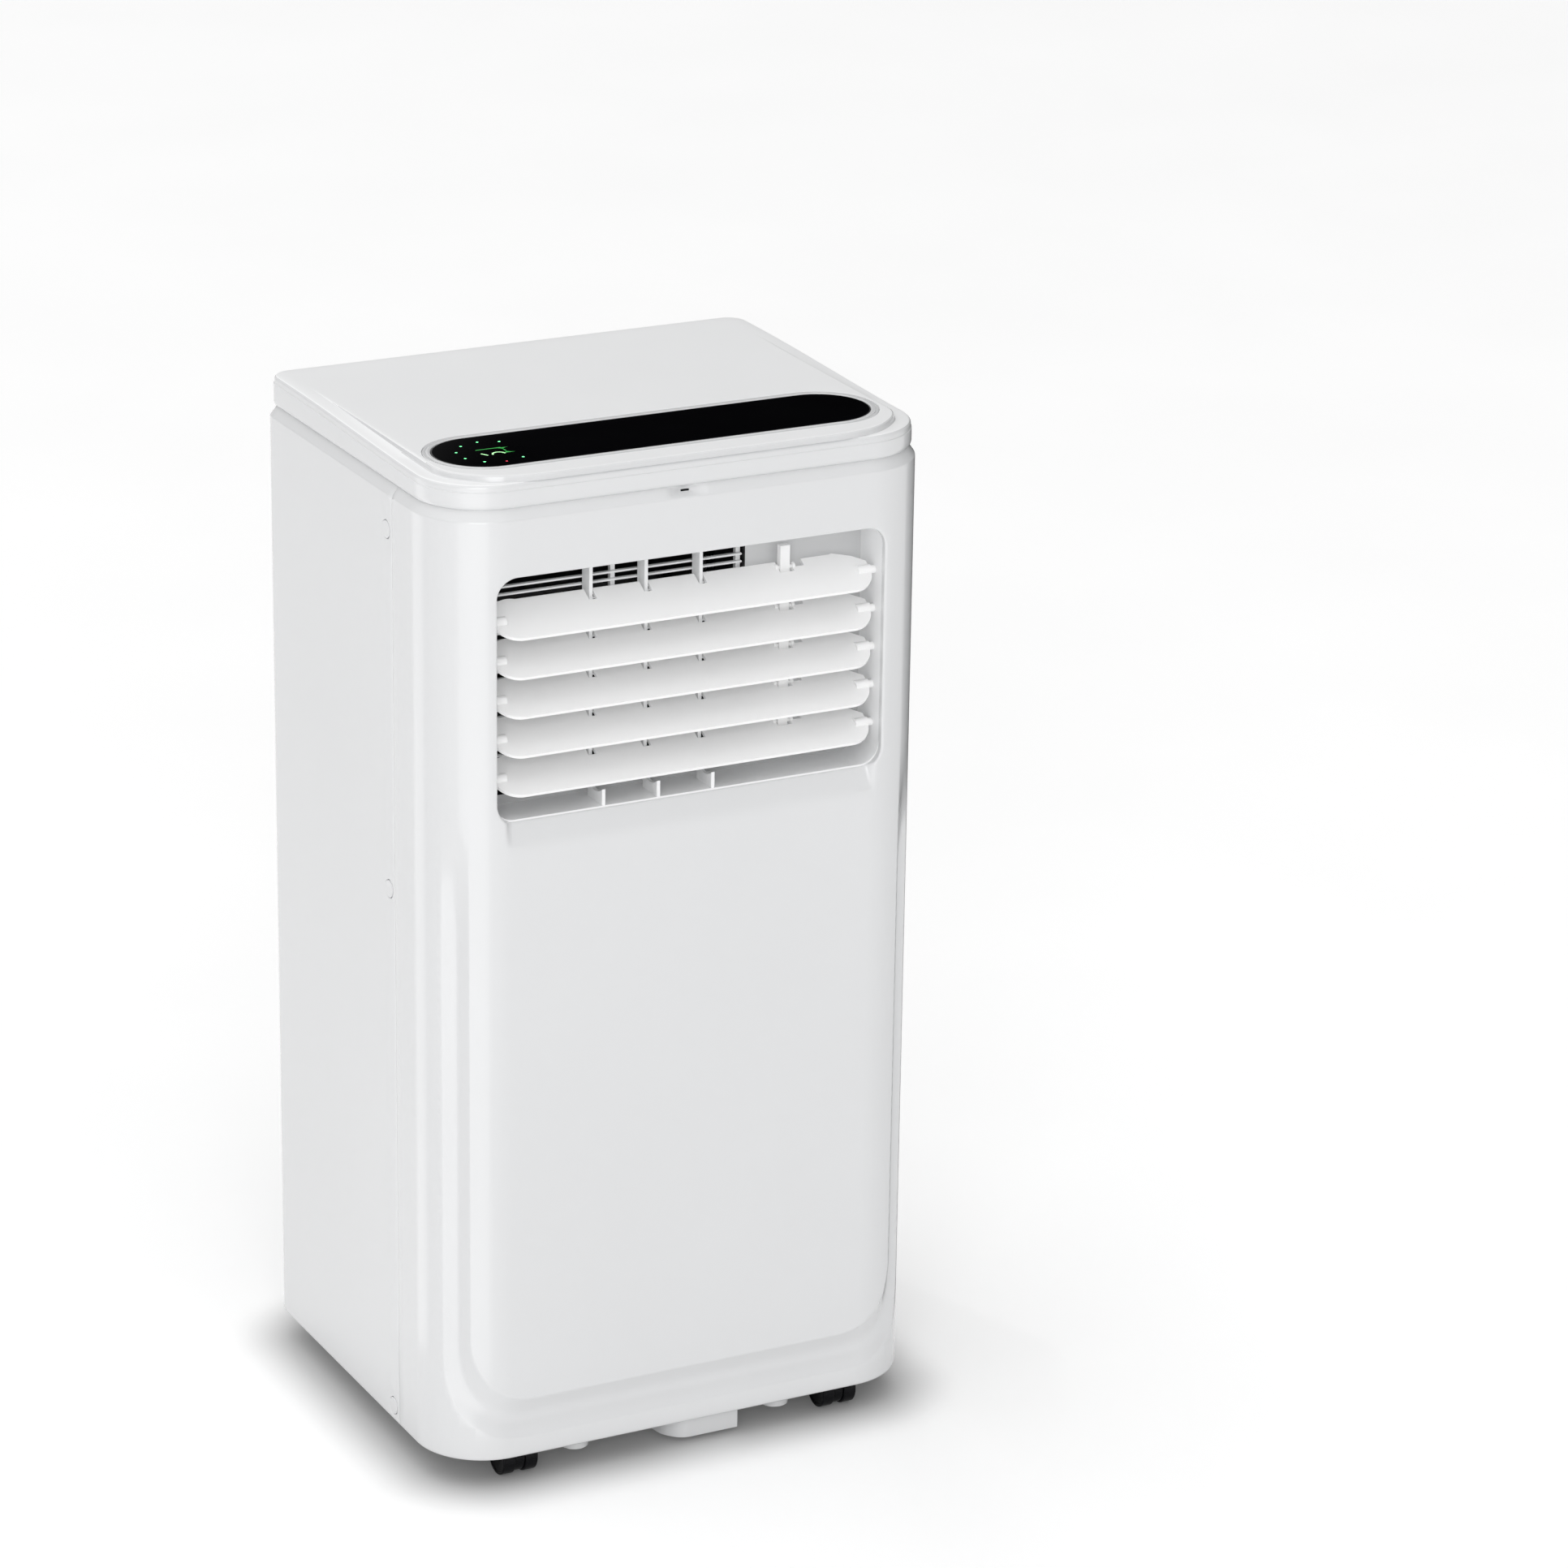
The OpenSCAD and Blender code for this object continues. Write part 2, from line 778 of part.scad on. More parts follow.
module cord_gland() {
  color(DARK) {
    difference() {
      union() {
        rod_y(rear_y - 9, rear_y + 0.6, 135, 38, 8.5);
        rod_y(rear_y + 0.3, rear_y + 5, 135, 38, 11);
      }
      rod_y(rear_y - 12, rear_y + 8, 135, 38, 4);
    }
  }
}

module compressor() {
  color([0.12, 0.12, 0.13]) {
    translate([comp_x, comp_y, 0]) {
      rotate_extrude() {
        translate([0, comp_z0 + 10]) square([comp_r, comp_z1 - comp_z0 - 20]);
        translate([0, comp_z0]) square([comp_r - 10, comp_z1 - comp_z0]);
        translate([comp_r - 10, comp_z0 + 10]) circle(10);
        translate([comp_r - 10, comp_z1 - 10]) circle(10);
      }
      for (a = foot_angles) {
        rotate([0, 0, a]) difference() {
          box([20, -12, 50], [foot_reach + 10, 12, 54.5]);
          rod_z(48, 57, foot_reach, 0, 5.2);
        }
      }
      rod_z(comp_z1 - 2, comp_z1 + 8, 0, 0, 14);
      rod_z(comp_z1 - 2, comp_z1 + 14, 20, 14, 3);
    }
  }
}

module compressor_feet() {
  color(DARK) {
    translate([comp_x, comp_y, 0]) {
      for (a = foot_angles) {
        rotate([0, 0, a]) {
          rod_z(21.1, 49.8, foot_reach, 0, 9);
          rod_z(49, 58, foot_reach, 0, 5);
          rod_z(54.7, 58, foot_reach, 0, 6);
        }
      }
    }
  }
}

module accumulator() {
  color([0.12, 0.12, 0.13]) {
    rod_z(90, 200, -20, -92, 20);
    rod_z(84, 91, -20, -92, 14);
    rod_z(199, 206, -20, -92, 14);
    rod_z(205, 214, -20, -92, 5.5);
    box([-42, -84, 120], [-38, -72, 128]);
    box([-42, -84, 168], [-38, -72, 176]);
  }
}

// Finned coil between y0 and y0 + coil_depth with tubes along X and return bends as end caps.
module coil(hw, y0, z0, z1, rows) {
  color(METAL) {
    for (x = [-hw:2 * hw / 26:hw + 1]) {
      box([x - 0.6, y0, z0], [x + 0.6, y0 + coil_depth, z1]);
    }
  }
  color(COPPER) {
    for (i = [0:rows - 1]) {
      z = z0 + (i + 0.5) * (z1 - z0) / rows;
      rod_x(-hw - 6, hw + 6, y0 + 8, z, 4);
    }
    for (s = [-1, 1]) {
      box([s * (hw + 7) - 2, y0 + 3, z0 + 4], [s * (hw + 7) + 2, y0 + 13, z1 - 4]);
    }
  }
}

module condenser_coil() {
  coil(138, 94, cond_z0, cond_z1 - 2, 8);
}

module evaporator_coil() {
  coil(122, evap_y0, evap_z0, evap_z1, 7);
}

// Squirrel cage wheel from z = 0 to w with a hub and shaft, axis along Z.
module cage(r, w, n, shaft) {
  cylinder(h = 2, r = r);
  for (i = [0:n - 1]) {
    rotate([0, 0, i * 360 / n]) translate([r - 11, 0, 1]) rotate([0, 0, 28]) cube([10, 1.2, w - 1]);
  }
  translate([0, 0, w - 3]) difference() {
    cylinder(h = 3, r = r);
    translate([0, 0, -1]) cylinder(h = 5, r = r - 13);
  }
  cylinder(h = 16, r = 9);
  translate([0, 0, -shaft]) cylinder(h = shaft + 1, r = 4);
}

module evaporator_blower() {
  color(DARK) {
    translate([scroll_x1 - 6, blower_y, blower_z]) rotate([0, -90, 0]) cage(blower_r, 152, 24, 22);
  }
}

module condenser_blower() {
  color(DARK) {
    translate([cond_fan_x, 32, cond_fan_z]) rotate([-90, 0, 0]) cage(cond_fan_r, 44, 24, 14);
  }
}

// Scroll drawn in Y and Z: round housing with a straight throat that leaves to the front.
module evap_scroll_shape(d) {
  translate([blower_y, blower_z]) circle(scroll_r - d);
  translate([-62, 482 + d]) square([64, 76 - 2 * d]);
}

module evaporator_scroll() {
  color(PALE) {
    difference() {
      side_slab(scroll_x0, scroll_x1) evap_scroll_shape(0);
      side_slab(scroll_x0 + 2.5, scroll_x1 - 2.5) evap_scroll_shape(2.5);
      box([scroll_x0 + 2.5, -64, 484.5], [scroll_x1 - 2.5, -55, 555.5]);
      rod_x(scroll_x0 - 2, scroll_x0 + 4, blower_y, blower_z, 42);
      rod_x(scroll_x1 - 4, scroll_x1 + 4, blower_y, blower_z, 6);
    }
  }
}

module evaporator_motor() {
  color(METAL) {
    difference() {
      union() {
        rod_x(scroll_x1 + 0.3, scroll_x1 + 3, blower_y, blower_z, 42);
        rod_x(scroll_x1 + 2, scroll_x1 + 52, blower_y, blower_z, 36);
        rod_x(scroll_x1 + 51, scroll_x1 + 60, blower_y, blower_z, 12);
      }
      rod_x(scroll_x1 - 1, scroll_x1 + 20, blower_y, blower_z, 4 + running);
    }
  }
}

module cond_scroll_shape(d) {
  translate([cond_fan_x, cond_fan_z]) circle(cond_scroll_r - d);
  translate([69 + d, cond_fan_z]) square([cond_fan_x + cond_scroll_r - 69 - 2 * d, 86 - d]);
}

module condenser_scroll() {
  color(GREY) {
    difference() {
      slab(26, 82) cond_scroll_shape(0);
      slab(28.5, 79.5) cond_scroll_shape(2.5);
      box([71.5, 28.5, 240], [133.5, 79.5, 260]);
      rod_y(78, 84, cond_fan_x, cond_fan_z, 46);
      rod_y(24, 30, cond_fan_x, cond_fan_z, 6);
    }
  }
}

module condenser_motor() {
  color(METAL) {
    difference() {
      union() {
        rod_y(23, 25.7, cond_fan_x, cond_fan_z, 44);
        rod_y(-32, 24, cond_fan_x, cond_fan_z, 38);
        rod_y(-40, -31, cond_fan_x, cond_fan_z, 13);
      }
      rod_y(17, 27, cond_fan_x, cond_fan_z, 4 + running);
    }
  }
}

module drip_tray() {
  color(GREY) {
    difference() {
      union() {
        box([-158, -62, deck_z], [158, 124, deck_z + 3]);
        box([-158, 80, deck_z], [158, 124, deck_z + 8]);
      }
      box([-155, 83, deck_z + 2.4], [155, 121, deck_z + 12]);
      box([-158.5, -63, deck_z - 1], [-132, -20, deck_z + 5]);
      rod_z(deck_z - 5, deck_z + 15, -146, 20, 6);
      rod_z(deck_z - 5, deck_z + 15, -120, 112, 4);
    }
  }
}

module splash_wheel() {
  color(WHITE) {
    translate([splash_x, splash_y, splash_z]) {
      rod_x(-2, 2, 0, 0, 6);
      rod_x(-14, -1, 0, 0, 2.5);
      difference() {
        rod_x(-1, 1, 0, 0, 15);
        for (i = [0:7]) {
          rotate([i * 45, 0, 0]) box([-3, -1.2, 9], [3, 1.2, 17]);
        }
      }
    }
  }
}

module splash_motor() {
  color(METAL) {
    translate([splash_x, splash_y, 0]) {
      difference() {
        union() {
          rod_x(-38, -7, 0, splash_z, 13);
          box([-34, -12, 21.1], [-12, 12, 40]);
        }
        rod_x(-15, -5, 0, splash_z, 2.5 + running);
      }
    }
  }
}

module control_box() {
  color(GREY) {
    difference() {
      box([62, -98, 412], [128, -46, 592]);
      box([65, -95, 415], [125, -43, 589]);
      rod_y(-100, -90, 100, 580, 1.8);
      rod_y(-100, -90, 100, 424, 1.8);
    }
  }
}

module main_board() {
  color([0.05, 0.35, 0.2]) {
    box([68, -88, 420], [122, -86.4, 584]);
    box([72, -86.5, 430], [92, -70, 448]);
    box([98, -86.5, 430], [116, -66, 456]);
    box([74, -86.5, 470], [96, -64, 496]);
    for (z = [520:16:568]) {
      box([74, -86.5, z], [86, -76, z + 9]);
      box([98, -86.5, z], [112, -80, z + 9]);
    }
  }
}

module run_capacitor() {
  color(METAL) {
    rod_z(300, 370, cap_x, cap_y, 20);
    rod_z(369, 372, cap_x, cap_y, 18);
    for (s = [-1, 1]) {
      box([cap_x + 4 * s - 2, cap_y - 1, 371], [cap_x + 4 * s + 2, cap_y + 1, 380]);
    }
  }
}

// Pipe pieces: straight runs meet quarter bends end to end.
module bend(a0, r) {
  rotate([0, 0, a0]) rotate_extrude(angle = 90) translate([bend_r, 0]) circle(r, $fn = 32);
}

module suction_pipe() {
  color(COPPER) {
    rod_z(214, 360, -20, -92, pipe_r);
    translate([-20 - bend_r, -92, 360]) rotate([90, 0, 0]) bend(0, pipe_r);
    rod_x(-132, -20 - bend_r, -92, 360 + bend_r, pipe_r);
    translate([-132, -92 + bend_r, 360 + bend_r]) bend(180, pipe_r);
    rod_y(-92 + bend_r, 6, -132 - bend_r, 360 + bend_r, pipe_r);
    translate([-146, 6, 360 + 2 * bend_r]) rotate([90, 0, 90]) bend(270, pipe_r);
    rod_z(360 + 2 * bend_r, 470, -146, 20, pipe_r);
  }
}

module discharge_pipe() {
  x0 = comp_x + 20;
  y0 = comp_y + 14;
  color(COPPER) {
    rod_z(276.2, 300, x0, y0, pipe_r);
    translate([x0, y0 + bend_r, 300]) rotate([90, 0, 90]) bend(90, pipe_r);
    rod_y(y0 + bend_r, 60, x0, 300 + bend_r, pipe_r);
    translate([x0 - bend_r, 60, 300 + bend_r]) bend(0, pipe_r);
    rod_x(-134, x0 - bend_r, 60 + bend_r, 300 + bend_r, pipe_r);
    translate([-134, 60 + bend_r, 300]) rotate([90, 0, 0]) bend(90, pipe_r);
    rod_z(252, 300, -134 - bend_r, 60 + bend_r, pipe_r);
  }
}

module capillary_tube() {
  color(COPPER) {
    for (i = [0:2]) {
      translate([-110, 40, 322 + i * 8]) rotate_extrude() translate([16, 0]) circle(1.6, $fn = 24);
      if (i < 2) {
        rod_z(322 + i * 8, 330 + i * 8, -94, 40, 1.6);
      }
    }
    rod_z(338, 395, -126, 40, 1.6);
  }
}

base_pan();
drain_well();
front_cover();
rear_cover();
top_lid();
display_bezel();
display_glass();
display_lights();
display_board();
remote_receiver();
outlet_frame();
louvre_1();
louvre_2();
louvre_3();
louvre_4();
louvre_5();
louvre_link();
outlet_guard();
swing_motor();
caster_fork_fl();
caster_fork_fr();
caster_fork_rl();
caster_fork_rr();
caster_wheels_fl();
caster_wheels_fr();
caster_wheels_rl();
caster_wheels_rr();
seam_screws();
rear_screws();
upper_grille();
upper_filter();
lower_grille();
lower_filter();
exhaust_collar();
exhaust_duct();
upper_drain_plug();
lower_drain_plug();
cord_gland();
compressor();
compressor_feet();
accumulator();
condenser_coil();
evaporator_coil();
evaporator_blower();
evaporator_scroll();
evaporator_motor();
condenser_blower();
condenser_scroll();
condenser_motor();
drip_tray();
splash_wheel();
splash_motor();
control_box();
main_board();
run_capacitor();
suction_pipe();
discharge_pipe();
capillary_tube();
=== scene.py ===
"""Looks of the portable air conditioner.

The shells, lid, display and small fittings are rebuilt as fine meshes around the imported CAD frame.
Shapes are in millimetres and new_object turns them into metres. Arc position a runs once round the
cabinet's outline from the middle of the front.
"""
import json
import math
import bmesh
import bpy
from mathutils import Matrix, Vector
from mathutils.geometry import delaunay_2d_cdt


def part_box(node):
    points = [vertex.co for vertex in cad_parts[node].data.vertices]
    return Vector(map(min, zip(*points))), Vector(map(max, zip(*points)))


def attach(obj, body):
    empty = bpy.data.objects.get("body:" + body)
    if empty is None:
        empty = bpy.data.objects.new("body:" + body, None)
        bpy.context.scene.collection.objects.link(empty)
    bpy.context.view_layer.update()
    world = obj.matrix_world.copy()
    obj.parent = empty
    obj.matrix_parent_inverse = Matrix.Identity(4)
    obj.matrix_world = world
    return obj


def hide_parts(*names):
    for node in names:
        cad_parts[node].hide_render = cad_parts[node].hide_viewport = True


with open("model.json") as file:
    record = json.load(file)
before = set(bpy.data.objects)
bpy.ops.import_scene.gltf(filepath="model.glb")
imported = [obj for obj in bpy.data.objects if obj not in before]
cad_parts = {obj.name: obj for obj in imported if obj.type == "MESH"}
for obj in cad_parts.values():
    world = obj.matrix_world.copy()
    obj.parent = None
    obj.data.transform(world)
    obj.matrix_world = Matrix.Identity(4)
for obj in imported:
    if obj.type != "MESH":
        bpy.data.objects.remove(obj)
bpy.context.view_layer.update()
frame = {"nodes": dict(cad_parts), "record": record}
nodes = frame["nodes"]
MM = 0.001

# ---- Sizes in millimetres, read from the frame where it has them ----
cover_low, cover_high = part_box("front_cover")
half_w = cover_high[0] / MM
front_y = cover_low[1] / MM
bottom_z = cover_low[2] / MM
shoulder_z = cover_high[2] / MM
rear_y = 132.0
front_r = 45.0
rear_r = 16.0
seam_y = -68.0
groove_foot_z = shoulder_z + 6.4   # where the slope over the shoulder meets the lid
groove_in = 4.6                    # how far that slope goes in
skin_t = 2.6
cabinet_mid_y = (front_y + rear_y) / 2
edge_rows = (0.3, 0.9, 1.6, 3.0)   # heights over the bottom edge where its rounding is cut
edge_t = 0.8                       # width of the rounding along the seam between the covers
seam_dip = 0.2                     # and its depth

corner_a = half_w - front_r                         # arc position where the front corner starts
side_a = corner_a + front_r * math.pi / 2           # where the side starts
seam_a = side_a + seam_y - (front_y + front_r)      # where the two covers meet
rear_corner_a = side_a + (rear_y - rear_r) - (front_y + front_r)
rear_a = rear_corner_a + rear_r * math.pi / 2
round_a = 2 * (rear_a + half_w - rear_r)            # once round the cabinet


def plan_point(a, depth):
    """The cabinet's outline at arc position a from the middle of the front, moved in by depth."""
    side = 1
    a = a % round_a
    if a > round_a / 2:
        a = round_a - a
        side = -1
    if a <= corner_a:
        x, y, nx, ny = a, front_y, 0.0, -1.0
    elif a <= side_a:
        t = (a - corner_a) / front_r
        nx, ny = math.sin(t), -math.cos(t)
        x, y = half_w - front_r + front_r * nx, front_y + front_r + front_r * ny
    elif a <= rear_corner_a:
        x, y, nx, ny = half_w, front_y + front_r + a - side_a, 1.0, 0.0
    elif a <= rear_a:
        t = (a - rear_corner_a) / rear_r
        nx, ny = math.cos(t), math.sin(t)
        x, y = half_w - rear_r + rear_r * nx, rear_y - rear_r + rear_r * ny
    else:
        x, y, nx, ny = half_w - rear_r - (a - rear_a), rear_y, 0.0, 1.0
    return side * (x - nx * depth), y - ny * depth


def smooth(t):
    t = min(max(t, 0.0), 1.0)
    return t * t * (3 - 2 * t)


# ---- Materials ----
def tree(name):
    m = bpy.data.materials.new(name)
    m.use_nodes = True
    nt = m.node_tree
    return m, nt, nt.nodes["Principled BSDF"]


def link(nt, a, b):
    nt.links.new(a, b)


def noise(nt, scale, detail=3.0, rough=0.5):
    coord = nt.nodes.new("ShaderNodeTexCoord")
    n = nt.nodes.new("ShaderNodeTexNoise")
    n.inputs["Scale"].default_value = scale
    n.inputs["Detail"].default_value = detail
    n.inputs["Roughness"].default_value = rough
    link(nt, coord.outputs["Object"], n.inputs["Vector"])
    return n


def ramp(nt, source, low, high, start=0.3, end=0.7):
    r = nt.nodes.new("ShaderNodeValToRGB")
    r.color_ramp.elements[0].position = start
    r.color_ramp.elements[1].position = end
    r.color_ramp.elements[0].color = low
    r.color_ramp.elements[1].color = high
    link(nt, source, r.inputs["Fac"])
    return r


def spread(nt, source, low, high):
    r = nt.nodes.new("ShaderNodeMapRange")
    r.inputs["To Min"].default_value = low
    r.inputs["To Max"].default_value = high
    link(nt, source, r.inputs["Value"])
    return r


def bump(nt, bsdf, height, strength, distance):
    b = nt.nodes.new("ShaderNodeBump")
    b.inputs["Strength"].default_value = strength
    b.inputs["Distance"].default_value = distance
    link(nt, height, b.inputs["Height"])
    link(nt, b.outputs["Normal"], bsdf.inputs["Normal"])


def plastic(name, color, rough=(0.28, 0.36), grain=900.0, grain_depth=0.00003, coat=0.0, tint=0.02,
            ior=1.5):
    """Moulded plastic: a faint orange-peel, slow colour drift and roughness that varies."""
    m, nt, bsdf = tree(name)
    slow = noise(nt, 6.0, 2.0)
    low = tuple(c * (1 - tint) for c in color) + (1,)
    high = tuple(min(1.0, c * (1 + tint)) for c in color) + (1,)
    tone = ramp(nt, slow.outputs["Fac"], low, high)
    link(nt, tone.outputs["Color"], bsdf.inputs["Base Color"])
    patch = noise(nt, 35.0, 4.0)
    shine = spread(nt, patch.outputs["Fac"], rough[0], rough[1])
    link(nt, shine.outputs["Result"], bsdf.inputs["Roughness"])
    fine = noise(nt, grain, 2.0)
    bump(nt, bsdf, fine.outputs["Fac"], 0.35, grain_depth)
    bsdf.inputs["Coat Weight"].default_value = coat
    bsdf.inputs["Coat Roughness"].default_value = 0.17
    bsdf.inputs["IOR"].default_value = ior
    return m


def metal(name, color, rough=(0.29, 0.45), stretch=(1, 1, 30), grain_depth=0.00003):
    """Worked metal: long brush marks in the roughness and the bump."""
    m, nt, bsdf = tree(name)
    coord = nt.nodes.new("ShaderNodeTexCoord")
    mapping = nt.nodes.new("ShaderNodeMapping")
    mapping.inputs["Scale"].default_value = stretch
    n = nt.nodes.new("ShaderNodeTexNoise")
    n.inputs["Scale"].default_value = 60.0
    n.inputs["Detail"].default_value = 5.0
    link(nt, coord.outputs["Object"], mapping.inputs["Vector"])
    link(nt, mapping.outputs["Vector"], n.inputs["Vector"])
    low = tuple(c * 0.9 for c in color) + (1,)
    high = tuple(min(1.0, c * 1.05) for c in color) + (1,)
    tone = ramp(nt, n.outputs["Fac"], low, high)
    link(nt, tone.outputs["Color"], bsdf.inputs["Base Color"])
    shine = spread(nt, n.outputs["Fac"], rough[0], rough[1])
    link(nt, shine.outputs["Result"], bsdf.inputs["Roughness"])
    bump(nt, bsdf, n.outputs["Fac"], 0.3, grain_depth)
    bsdf.inputs["Metallic"].default_value = 1.0
    return m


def net_material(name, color):
    """Fine woven filter net: two crossing waves give threads and gaps."""
    m, nt, bsdf = tree(name)
    coord = nt.nodes.new("ShaderNodeTexCoord")
    threads = []
    for direction in ("X", "Z"):
        w = nt.nodes.new("ShaderNodeTexWave")
        w.bands_direction = direction
        w.inputs["Scale"].default_value = 260.0
        link(nt, coord.outputs["Object"], w.inputs["Vector"])
        threads.append(w)
    mix = nt.nodes.new("ShaderNodeMath")
    mix.operation = "MAXIMUM"
    link(nt, threads[0].outputs["Fac"], mix.inputs[0])
    link(nt, threads[1].outputs["Fac"], mix.inputs[1])
    tone = ramp(nt, mix.outputs["Value"], tuple(c * 0.35 for c in color) + (1,), color + (1,), 0.4, 0.8)
    link(nt, tone.outputs["Color"], bsdf.inputs["Base Color"])
    bump(nt, bsdf, mix.outputs["Value"], 0.5, 0.0002)
    bsdf.inputs["Roughness"].default_value = 0.8
    return m


def board_material(name):
    """Circuit board: green lacquer with a faint copper track pattern."""
    m, nt, bsdf = tree(name)
    coord = nt.nodes.new("ShaderNodeTexCoord")
    tracks = nt.nodes.new("ShaderNodeTexVoronoi")
    tracks.distance = "MANHATTAN"
    tracks.inputs["Scale"].default_value = 120.0
    link(nt, coord.outputs["Object"], tracks.inputs["Vector"])
    tone = ramp(nt, tracks.outputs["Distance"], (0.02, 0.16, 0.07, 1), (0.05, 0.32, 0.14, 1), 0.3, 0.5)
    link(nt, tone.outputs["Color"], bsdf.inputs["Base Color"])
    bump(nt, bsdf, tracks.outputs["Distance"], 0.2, 0.0001)
    bsdf.inputs["Roughness"].default_value = 0.35
    return m


def glow_material(name, color, strength):
    m, nt, bsdf = tree(name)
    n = noise(nt, 400.0)
    tone = ramp(nt, n.outputs["Fac"], tuple(c * 0.8 for c in color) + (1,), color + (1,))
    link(nt, tone.outputs["Color"], bsdf.inputs["Base Color"])
    link(nt, tone.outputs["Color"], bsdf.inputs["Emission Color"])
    bsdf.inputs["Emission Strength"].default_value = strength
    return m


WHITE = plastic("white_plastic_look", (0.70, 0.705, 0.713), rough=(0.19, 0.25), coat=0.6, tint=0.008)
# A paler copy of the white plastic without its coat, for the lid's upward faces: painted light on the top.
LID_TOP_PAINTED_LIGHT = plastic("lid_top_painted_light_look", (0.85, 0.855, 0.86), rough=(0.31, 0.38), tint=0.008)
PALE = plastic("pale_plastic_look", (0.70, 0.705, 0.71), rough=(0.3, 0.4), coat=0.3)
# A darker copy of the duct's white: painted shade on the plate behind the blades.
DUCT_PAINTED_SHADE = plastic("duct_painted_shade_look", (0.60, 0.605, 0.61), rough=(0.31, 0.38), tint=0.01)
DUCT_WHITE = plastic("duct_white_look", (0.88, 0.885, 0.89), rough=(0.34, 0.44), tint=0.008)
BLADE = plastic("blade_look", (0.94, 0.94, 0.94), rough=(0.30, 0.38), coat=0.3, tint=0.006)
GLASS = plastic("display_black_look", (0.002, 0.002, 0.0025), rough=(0.03, 0.05), grain=40.0,
                grain_depth=0.000002, tint=0.3, ior=1.3)
BLACK = plastic("black_plastic_look", (0.012, 0.012, 0.013), rough=(0.4, 0.55), grain=1400.0)
CASTER = plastic("caster_black_look", (0.004, 0.004, 0.005), rough=(0.18, 0.26), ior=1.22)
GREY = plastic("grey_plastic_look", (0.20, 0.21, 0.22), rough=(0.45, 0.6))
RUBBER = plastic("rubber_look", (0.02, 0.02, 0.02), rough=(0.6, 0.75), grain=700.0, grain_depth=0.0001)
BLACK_STEEL = plastic("black_paint_look", (0.015, 0.015, 0.017), rough=(0.18, 0.26), coat=0.5)
STEEL = metal("steel_look", (0.62, 0.63, 0.65))
ALUMINIUM = metal("fin_aluminium_look", (0.78, 0.79, 0.81), stretch=(1, 30, 1))
COPPER = metal("copper_look", (0.78, 0.42, 0.27), rough=(0.29, 0.4))
NET = net_material("filter_net_look", (0.30, 0.31, 0.33))
BOARD = board_material("circuit_board_look")
GREEN = glow_material("green_light_look", (0.16, 0.85, 0.33), 2.2)
PALE_GREEN = glow_material("readout_light_look", (0.42, 0.85, 0.40), 1.0)
DIM_GREEN = glow_material("dim_green_light_look", (0.01, 0.24, 0.03), 1.1)
RED = glow_material("red_light_look", (0.55, 0.02, 0.05), 1.5)


# ---- Mesh helpers ----
def new_object(name, verts, faces, material, scale=MM):
    mesh = bpy.data.meshes.new(name)
    mesh.from_pydata([Vector(v) * scale for v in verts], [], faces)
    mesh.validate()
    obj = bpy.data.objects.new(name, mesh)
    bpy.context.scene.collection.objects.link(obj)
    obj.data.materials.append(material)
    return obj


def apply_modifiers(obj):
    depsgraph = bpy.context.evaluated_depsgraph_get()
    mesh = bpy.data.meshes.new_from_object(obj.evaluated_get(depsgraph))
    obj.modifiers.clear()
    obj.data = mesh


def shade(obj, angle=35.0):
    obj.data.shade_smooth()
    obj.data.set_sharp_from_angle(angle=math.radians(angle))


def bevel(obj, width, angle):
    mod = obj.modifiers.new("edge", "BEVEL")
    mod.width = width * MM
    mod.segments = 2
    mod.limit_method = "ANGLE"
    mod.angle_limit = math.radians(angle)
    mod.use_clamp_overlap = True
    mod.harden_normals = False


def softened(node, width, material, slot, angle=35.0):
    """A copy of a CAD node with its facets merged and every hard edge rounded; it stands for the node."""
    mesh = nodes[node].data.copy()
    bm = bmesh.new()
    bm.from_mesh(mesh)
    bmesh.ops.remove_doubles(bm, verts=bm.verts, dist=0.000004)
    bmesh.ops.dissolve_limit(bm, angle_limit=math.radians(0.6), verts=bm.verts, edges=bm.edges)
    bm.to_mesh(mesh)
    bm.free()
    mesh.materials.clear()
    mesh.materials.append(material)
    obj = bpy.data.objects.new(node + "_skin", mesh)
    bpy.context.scene.collection.objects.link(obj)
    bevel(obj, width, angle)
    apply_modifiers(obj)
    shade(obj, 40.0)
    even_normals(obj)
    stand_for(obj, slot, node)
    return obj


def even_normals(obj):
    """Keeps large flat faces flat under smooth shading."""
    mod = obj.modifiers.new("even", "WEIGHTED_NORMAL")
    mod.keep_sharp = True
    mod.weight = 80
    apply_modifiers(obj)


def stand_for(obj, slot, *names):
    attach(obj, body_of[names[0]])
    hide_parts(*names)


body_of = {n: b for b, members in frame["record"]["behaviour"]["bodies"].items() for n in members}


def rounded_box_path(x0, z0, x1, z1, r, step=8.0, turns=8):
    """Closed outline of a rounded rectangle, corners as arcs, sides cut to about step."""
    points = []
    centres = ((x1 - r, z0 + r, -90), (x1 - r, z1 - r, 0), (x0 + r, z1 - r, 90), (x0 + r, z0 + r, 180))
    for cx, cz, start in centres:
        for k in range(turns + 1):
            t = math.radians(start + 90 * k / turns)
            points.append((cx + r * math.cos(t), cz + r * math.sin(t)))
    return cut_path(points, step, closed=True)


def circle_path(cx, cz, r, n=48):
    turns = [2 * math.pi * k / n for k in range(n)]
    return [(cx + r * math.cos(t), cz + r * math.sin(t)) for t in turns]


def cut_path(points, step, closed=False):
    out = []
    count = len(points) if closed else len(points) - 1
    for i in range(count):
        p, q = points[i], points[(i + 1) % len(points)]
        n = max(1, int(math.dist(p, q) / step))
        out += [(p[0] + (q[0] - p[0]) * k / n, p[1] + (q[1] - p[1]) * k / n) for k in range(n)]
    if not closed:
        out.append(points[-1])
    return out


def span(low, high, step):
    n = max(1, round((high - low) / step))
    return [low + (high - low) * k / n for k in range(n + 1)]


